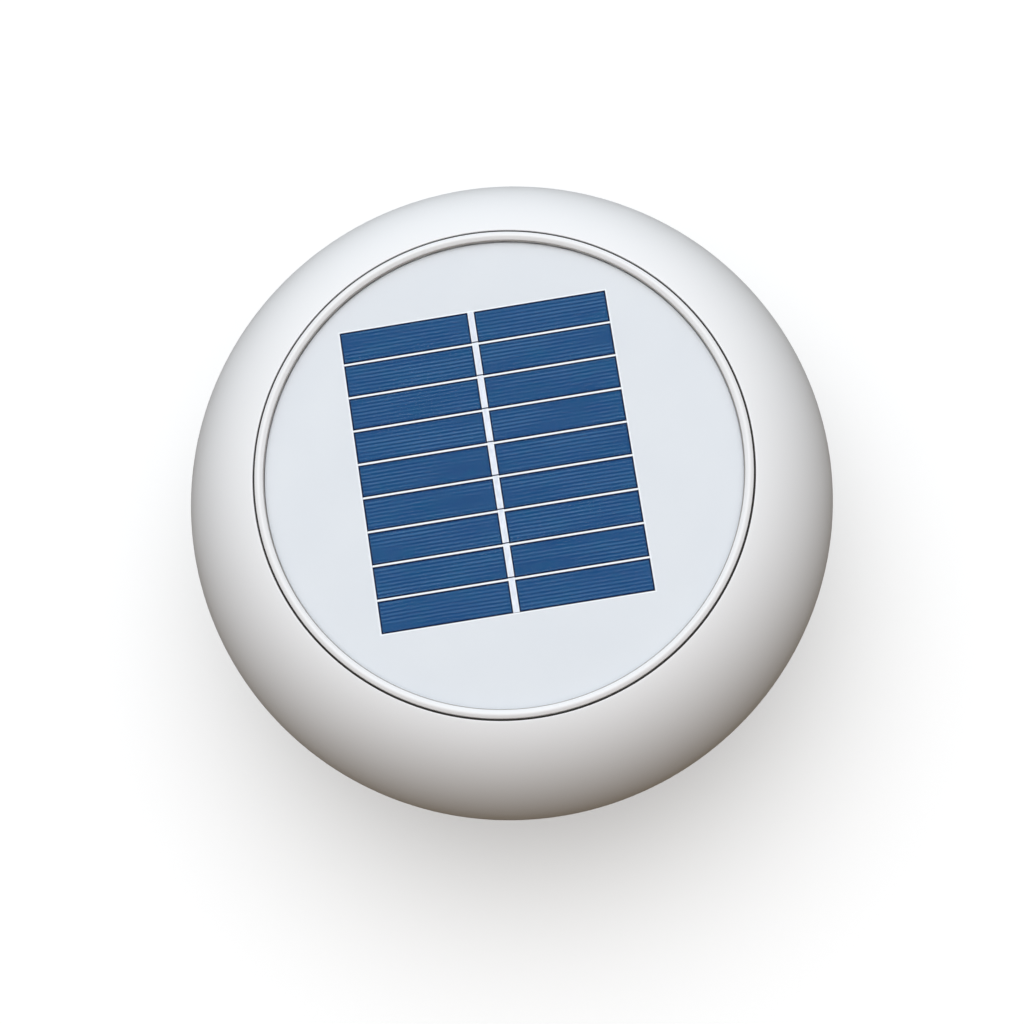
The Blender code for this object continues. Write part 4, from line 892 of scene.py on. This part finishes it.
def switch():
    """The cap that closes the damper's hub, and the rocker switch in it."""
    cap_top = CAP_LOW.z + 2.2 * MM
    rim_inner, rim_outer = 10.8 * MM, 12.6 * MM
    corners = [
        (0, cap_top, 0),
        (rim_inner, cap_top, 0),
        (rim_inner, CAP_HIGH.z, 0.3 * MM),
        (rim_outer, CAP_HIGH.z, 0.3 * MM),
        (rim_outer, cap_top, 0.2 * MM),
        (CAP_HIGH.x, cap_top, 0.4 * MM),
        (CAP_HIGH.x, CAP_LOW.z, 1.0 * MM),
        (0, CAP_LOW.z, 0),
    ]
    cap = turned("hub_cover", corners, MEDIUM_ROUND)
    opening = rectangle((0, 0), 13.8 * MM, 9.4 * MM)
    hole = prism(bmesh.new(), opening, CAP_LOW.z - 5 * MM, cap_top + 1 * MM)
    cut(cap, from_bmesh("cap_hole", hole))
    finish_piece(cap, WHITE_BASE, "housing", ["hub_cap"])

    softened(nodes["switch_body"], 0.3 * MM, 3)
    paint_node("switch_body", BLACK_PLASTIC)
    softened(nodes["switch_rocker"], 0.3 * MM, 3)
    paint_node("switch_rocker", BLACK_PLASTIC)
    # A bar on one half of the rocker's face and a ring on the other; the halves slope to the middle
    pivot = Vector(next(j for j in frame["joints"] if j["name"] == "switch_rock")["pos_m"])
    tilt, thickness = radians(8), 0.16 * MM

    def on_half(side):
        slope = Matrix.Rotation(tilt, 4, "Y") @ Matrix.Rotation(-side * tilt, 4, "Y")
        middle = Matrix.Translation((side * 2.9 * MM, 0, -2.42 * MM))
        return Matrix.Translation(pivot) @ slope @ middle

    outer, inner, half = 0.95 * MM, 0.62 * MM, thickness / 2
    ring = [(inner, -half), (outer, -half), (outer, half), (inner, half)]
    work = lathe(bmesh.new(), ring, SMALL_ROUND)
    bmesh.ops.transform(work, matrix=on_half(1), verts=work.verts)
    block(work, (1.9 * MM, 0.35 * MM, thickness), on_half(-1))
    marks = from_bmesh("rocker_marks", work)
    finish_piece(marks, MARK, "rocker", (), 40)


# ---- motor and fan
def motor():
    """A small DC motor's drawn steel case and its moulded end cap, on the CAD's bracket."""
    softened(nodes["motor_bracket"], 0.35 * MM, 3)
    paint_node("motor_bracket", WHITE_BASE)
    low, high = CAN_LOW.z, CAN_HIGH.z
    outer, inner, bush, wall = 14.0 * MM, 13.0 * MM, 3.2 * MM, 1.0 * MM
    corners = [
        (inner, high, 0.2 * MM),
        (outer, high, 0.3 * MM),
        (outer, low, 1.6 * MM),
        (bush, low, 0.2 * MM),
        (bush, low + wall, 0),
        (inner, low + wall, 0.8 * MM),
    ]
    can = turned("motor_case", corners, MEDIUM_ROUND)
    finish_piece(can, CAN_STEEL, "housing", ["motor_can"], 40)
    cap_low, cap_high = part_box("motor_end_cap")
    boss, shoulder_z, rim = 5.2 * MM, cap_high.z - 0.8 * MM, 13.7 * MM
    corners = [
        (bush, cap_high.z, 0.2 * MM),
        (boss, cap_high.z, 0.3 * MM),
        (boss + 0.4 * MM, shoulder_z, 0.3 * MM),
        (rim - 0.8 * MM, shoulder_z, 0.5 * MM),
        (rim, cap_low.z + 0.5 * MM, 0.3 * MM),
        (rim, cap_low.z, 0),
        (bush, cap_low.z, 0),
    ]
    cap = turned("motor_cap", corners, MEDIUM_ROUND)
    finish_piece(cap, BLACK_PLASTIC, "housing", ["motor_end_cap"], 40)


def fan():
    """A moulded fan: blades that are thickest near the front edge, on a domed hub."""
    hub_radius, tip = 13.0 * MM, 50.0 * MM
    top, bottom, middle = FAN_HIGH.z, FAN_LOW.z, 43.0 * MM
    bore, boss, boss_end = 4.3 * MM, 6.8 * MM, bottom + 1.0 * MM
    skirt, web = hub_radius - 1.8 * MM, top - 2.6 * MM
    corners = [
        (bore, top, 0.3 * MM),
        (hub_radius, top, 2.4 * MM),
        (hub_radius, bottom, 0.4 * MM),
        (skirt, bottom, 0.3 * MM),
        (skirt, web, 0.8 * MM),
        (boss, web, 0.8 * MM),
        (boss, boss_end, 0.3 * MM),
        (bore, boss_end, 0.3 * MM),
    ]
    work = lathe(bmesh.new(), rounded(corners), MEDIUM_ROUND)
    spans, chords, blades = 16, 14, 6
    blade_root = hub_radius - 1.0 * MM
    for start in around(blades):
        rings = []
        for i in range(spans + 1):
            share = i / spans
            radius = blade_root + (tip - blade_root) * share
            # The chord grows outwards, and the tip's corners are rounded off
            tip_corner = 1.0 - 0.18 * max(0.0, (share - 0.86) / 0.14) ** 2
            chord = (14.0 + 12.0 * share) * MM * tip_corner
            pitch = radians(38 - 20 * share)
            sweep = radians(14) * share
            loop = []
            for side in (1, -1):
                for j in range(chords):
                    t = j / chords if side > 0 else 1 - j / chords
                    along = chord * (t - 0.5)
                    camber = 1.2 * MM * (1 - (2 * t - 1) ** 2)
                    thick = (2.0 - 0.7 * share) * MM * sqrt(t * (1 - t)) * (1.25 - 0.5 * t)
                    thick = max(thick, 0.18 * MM) / 1.1
                    angle = start + sweep + along * cos(pitch) / radius
                    z = middle + along * sin(pitch) + camber + side * thick / 2
                    loop.append(work.verts.new((*polar(radius, angle), z)))
            rings.append(loop)
        loft(work, rings)
    piece = from_bmesh("fan_rotor", work)
    finish_piece(piece, GREY_FAN, "rotor", ["fan_impeller"], 50)


def screws():
    """Pan heads with a cross recess, on a threaded shank, in place of the plain CAD screws."""
    # Head radius, head height, shank radius and shank length in mm, how many, and which way is up
    sizes = {
        "cover_screw": (2.9, 2.4, 1.5, 16.0, 4, 1),
        "bracket_screw": (2.6, 2.0, 1.2, 11.0, 3, 1),
        "motor_screw": (2.1, 1.4, 1.0, 6.5, 2, -1),
    }
    thread_pitch = 1.1
    for kind, (head, height, shank, length, count, up) in sizes.items():
        for k in range(1, count + 1):
            name = f"{kind}_{k}"
            low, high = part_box(name)
            x, y = (low.x + high.x) / 2, (low.y + high.y) / 2
            seat = high.z - height * MM if up > 0 else low.z + height * MM
            corners = [(0, height, 0), (0.75 * head, height, 0.5 * height)]
            corners += [(head, 0.35 * height, 0.3 * height), (head, 0, 0.1), (shank, 0, 0.1)]
            for t in range(int(length / thread_pitch)):
                z = -(0.6 + t * thread_pitch)
                corners += [(0.78 * shank, z, 0), (shank, z - 0.45, 0), (0.78 * shank, z - 0.9, 0)]
            corners += [(0, -length, 0)]
            profile = [(r * MM, seat + up * z * MM) for r, z in rounded(corners, 4)]
            made = from_bmesh(name + "_fine", lathe(bmesh.new(), profile, SMALL_ROUND, (x, y)))
            # Two crossed bars, joined into one body, cut the recess
            recess = bmesh.new()
            for turn in (0.3, 0.3 + pi / 2):
                place = Matrix.Translation((x, y, seat + up * height * MM)) @ Matrix.Rotation(turn, 4, "Z")
                block(recess, (1.25 * head * MM, 0.28 * head * MM, 1.1 * height * MM), place)
            crossed = from_bmesh(name + "_recess", recess)
            step = crossed.modifiers.new("weld", "REMESH")
            step.mode = "VOXEL"
            step.voxel_size = 0.12 * MM
            settled(crossed)
            cut(made, crossed)
            finish_piece(made, SCREW_STEEL, "housing", [name], 40)


# ---- CAD nodes that stay
def paint_node(name, paint):
    """Paints and smooths a CAD node that shows as it is."""
    data = nodes[name].data
    data.materials.clear()
    data.materials.append(paint)
    data.shade_smooth()
    data.set_sharp_from_angle(angle=radians(32))


def other_nodes():
    """Inner parts whose CAD shape is fine enough to show as it is."""
    bushes = ("motor_bush_front", "motor_bush_rear", "fan_bush")
    paints = {
        FERRITE: ("motor_magnet_front", "motor_magnet_back"),
        BRASS: (*bushes, "motor_terminal_left", "motor_terminal_right"),
        CAN_STEEL: ("motor_shaft", "armature_core", "shaft_clip", "battery_spring", "battery_contact"),
        COPPER: ("commutator",),
        BOARD: ("charge_board",),
        BLACK_PLASTIC: ("battery_holder", "board_capacitor", "lead_switch", "lead_battery"),
        WHITE_BASE: ("board_connector",),
        WRAP: ("battery_cell",),
        twin_paint("motor_lead", 3.0 * MM): ("lead_motor",),
        twin_paint("panel_lead", -3.0 * MM): ("lead_panel",),
    }
    for paint, names in paints.items():
        for name in names:
            paint_node(name, paint)
    for name in ("battery_holder", "board_connector", "charge_board", "battery_cell", "board_capacitor"):
        softened(nodes[name], 0.3 * MM)


# ---- studio
def studio_sky(scene):
    """A dim, warm room with two large soft patches of light: overhead, and high on the far side."""
    world = bpy.data.worlds.new("studio")
    scene.world = world
    world.use_nodes = True
    tree = world.node_tree
    back = tree.nodes["Background"]
    direction = tree.nodes.new("ShaderNodeTexCoord").outputs["Generated"]

    def vector_math(operation):
        made = tree.nodes.new("ShaderNodeVectorMath")
        made.operation = operation
        return made

    def share(towards, edge):
        """How far a direction lies towards another, from 0 at a cosine of edge to 1 at the middle."""
        dot = vector_math("DOT_PRODUCT")
        dot.inputs[1].default_value = Vector(towards).normalized()
        tree.links.new(direction, dot.inputs[0])
        ranged = tree.nodes.new("ShaderNodeMapRange")
        ranged.inputs["From Min"].default_value = edge
        ranged.inputs["From Max"].default_value = 1.0
        tree.links.new(dot.outputs["Value"], ranged.inputs["Value"])
        return ranged.outputs[0]

    # Soft patches of light: where each lies, the cosine at its edge, and its colour
    light = room = (0.098, 0.066, 0.030)
    for towards, edge, colour in (
        ((0, 0, 1), 0.4, (0.865, 0.818, 0.800)),
        ((0, 0.7, 0.7), 0.0, (0.63, 0.76, 0.87)),
    ):
        patch = vector_math("SCALE")
        patch.inputs[0].default_value = colour
        tree.links.new(share(towards, edge), patch.inputs["Scale"])
        both = vector_math("ADD")
        tree.links.new(patch.outputs[0], both.inputs[0])
        if light is room:
            both.inputs[1].default_value = room
        else:
            tree.links.new(light, both.inputs[1])
        light = both.outputs[0]
    tree.links.new(light, back.inputs["Color"])
    back.inputs["Strength"].default_value = 1.0


def studio():
    """The pale floor, the light and the camera."""
    scene = bpy.context.scene
    scene.view_settings.view_transform = "Standard"

    pale, shade = (0.74, 0.74, 0.74), (0.73, 0.73, 0.73)
    floor_paint = Paint("pale_floor", pale, 0.85, Specular_IOR_Level=0.1)
    floor_paint.feed("Base Color", floor_paint.mix(floor_paint.noise(0.3, 2.0), pale, shade))
    floor_paint.shader.inputs["Emission Color"].default_value = (1, 1, 1, 1)
    floor_paint.shader.inputs["Emission Strength"].default_value = 0.30
    reach, depth = 3.0, 0.01
    disc = [(0, 0), (reach, 0), (reach, -depth), (0, -depth)]
    floor = from_bmesh("floor", lathe(bmesh.new(), disc, MEDIUM_ROUND))
    floor.data.materials.append(floor_paint.material)
    # The floor shows and takes the shadow, but the room lights the vent from below and not the floor
    floor.visible_diffuse = floor.visible_glossy = False

    studio_sky(scene)

    # One large round light high on the far side, aimed at the vent
    light = bpy.data.lights.new("top_light", "AREA")
    light.shape = "DISK"
    light.size = 1.6
    light.energy = 9.5
    light.color = (1.0, 0.995, 0.985)
    lamp = bpy.data.objects.new("top_light", light)
    lamp.location = (0.05, 0.55, 1.9)
    aim = Vector((0, 0, 0.05)) - lamp.location
    lamp.rotation_mode = "QUATERNION"
    lamp.rotation_quaternion = aim.to_track_quat("-Z", "Y")
    scene.collection.objects.link(lamp)

    # The camera looks almost straight down, from a little in front of the vent and to its right,
    # and is rolled a little, so the row of cells runs aslant; the angles are in radians
    tilt, bearing, roll = 0.2427, 0.1128, 0.1498
    distance = 0.74
    back_way = Vector((sin(tilt) * sin(bearing), -sin(tilt) * cos(bearing), cos(tilt)))
    up_way = Vector((sin(roll), cos(roll), 0))
    right = up_way.cross(back_way).normalized()
    up = back_way.cross(right).normalized()
    camera = bpy.data.objects.new("camera", bpy.data.cameras.new("camera"))
    camera.data.sensor_width = 36.0
    camera.data.lens = 87.2
    camera.data.clip_start = 0.01
    camera.data.clip_end = 20.0
    # The vent sits a little to the left of the picture's middle and above it
    camera.data.shift_x = 0.0092
    camera.data.shift_y = -0.0414
    place = Vector((0, 0, SEAM_Z)) + back_way * distance
    turn = Matrix((right, up, back_way)).transposed()
    camera.matrix_world = Matrix.Translation(place) @ turn.to_4x4()
    scene.collection.objects.link(camera)
    scene.camera = camera


dome()
module()
base()
guard()
screen()
damper()
switch()
motor()
fan()
screws()
other_nodes()
studio()
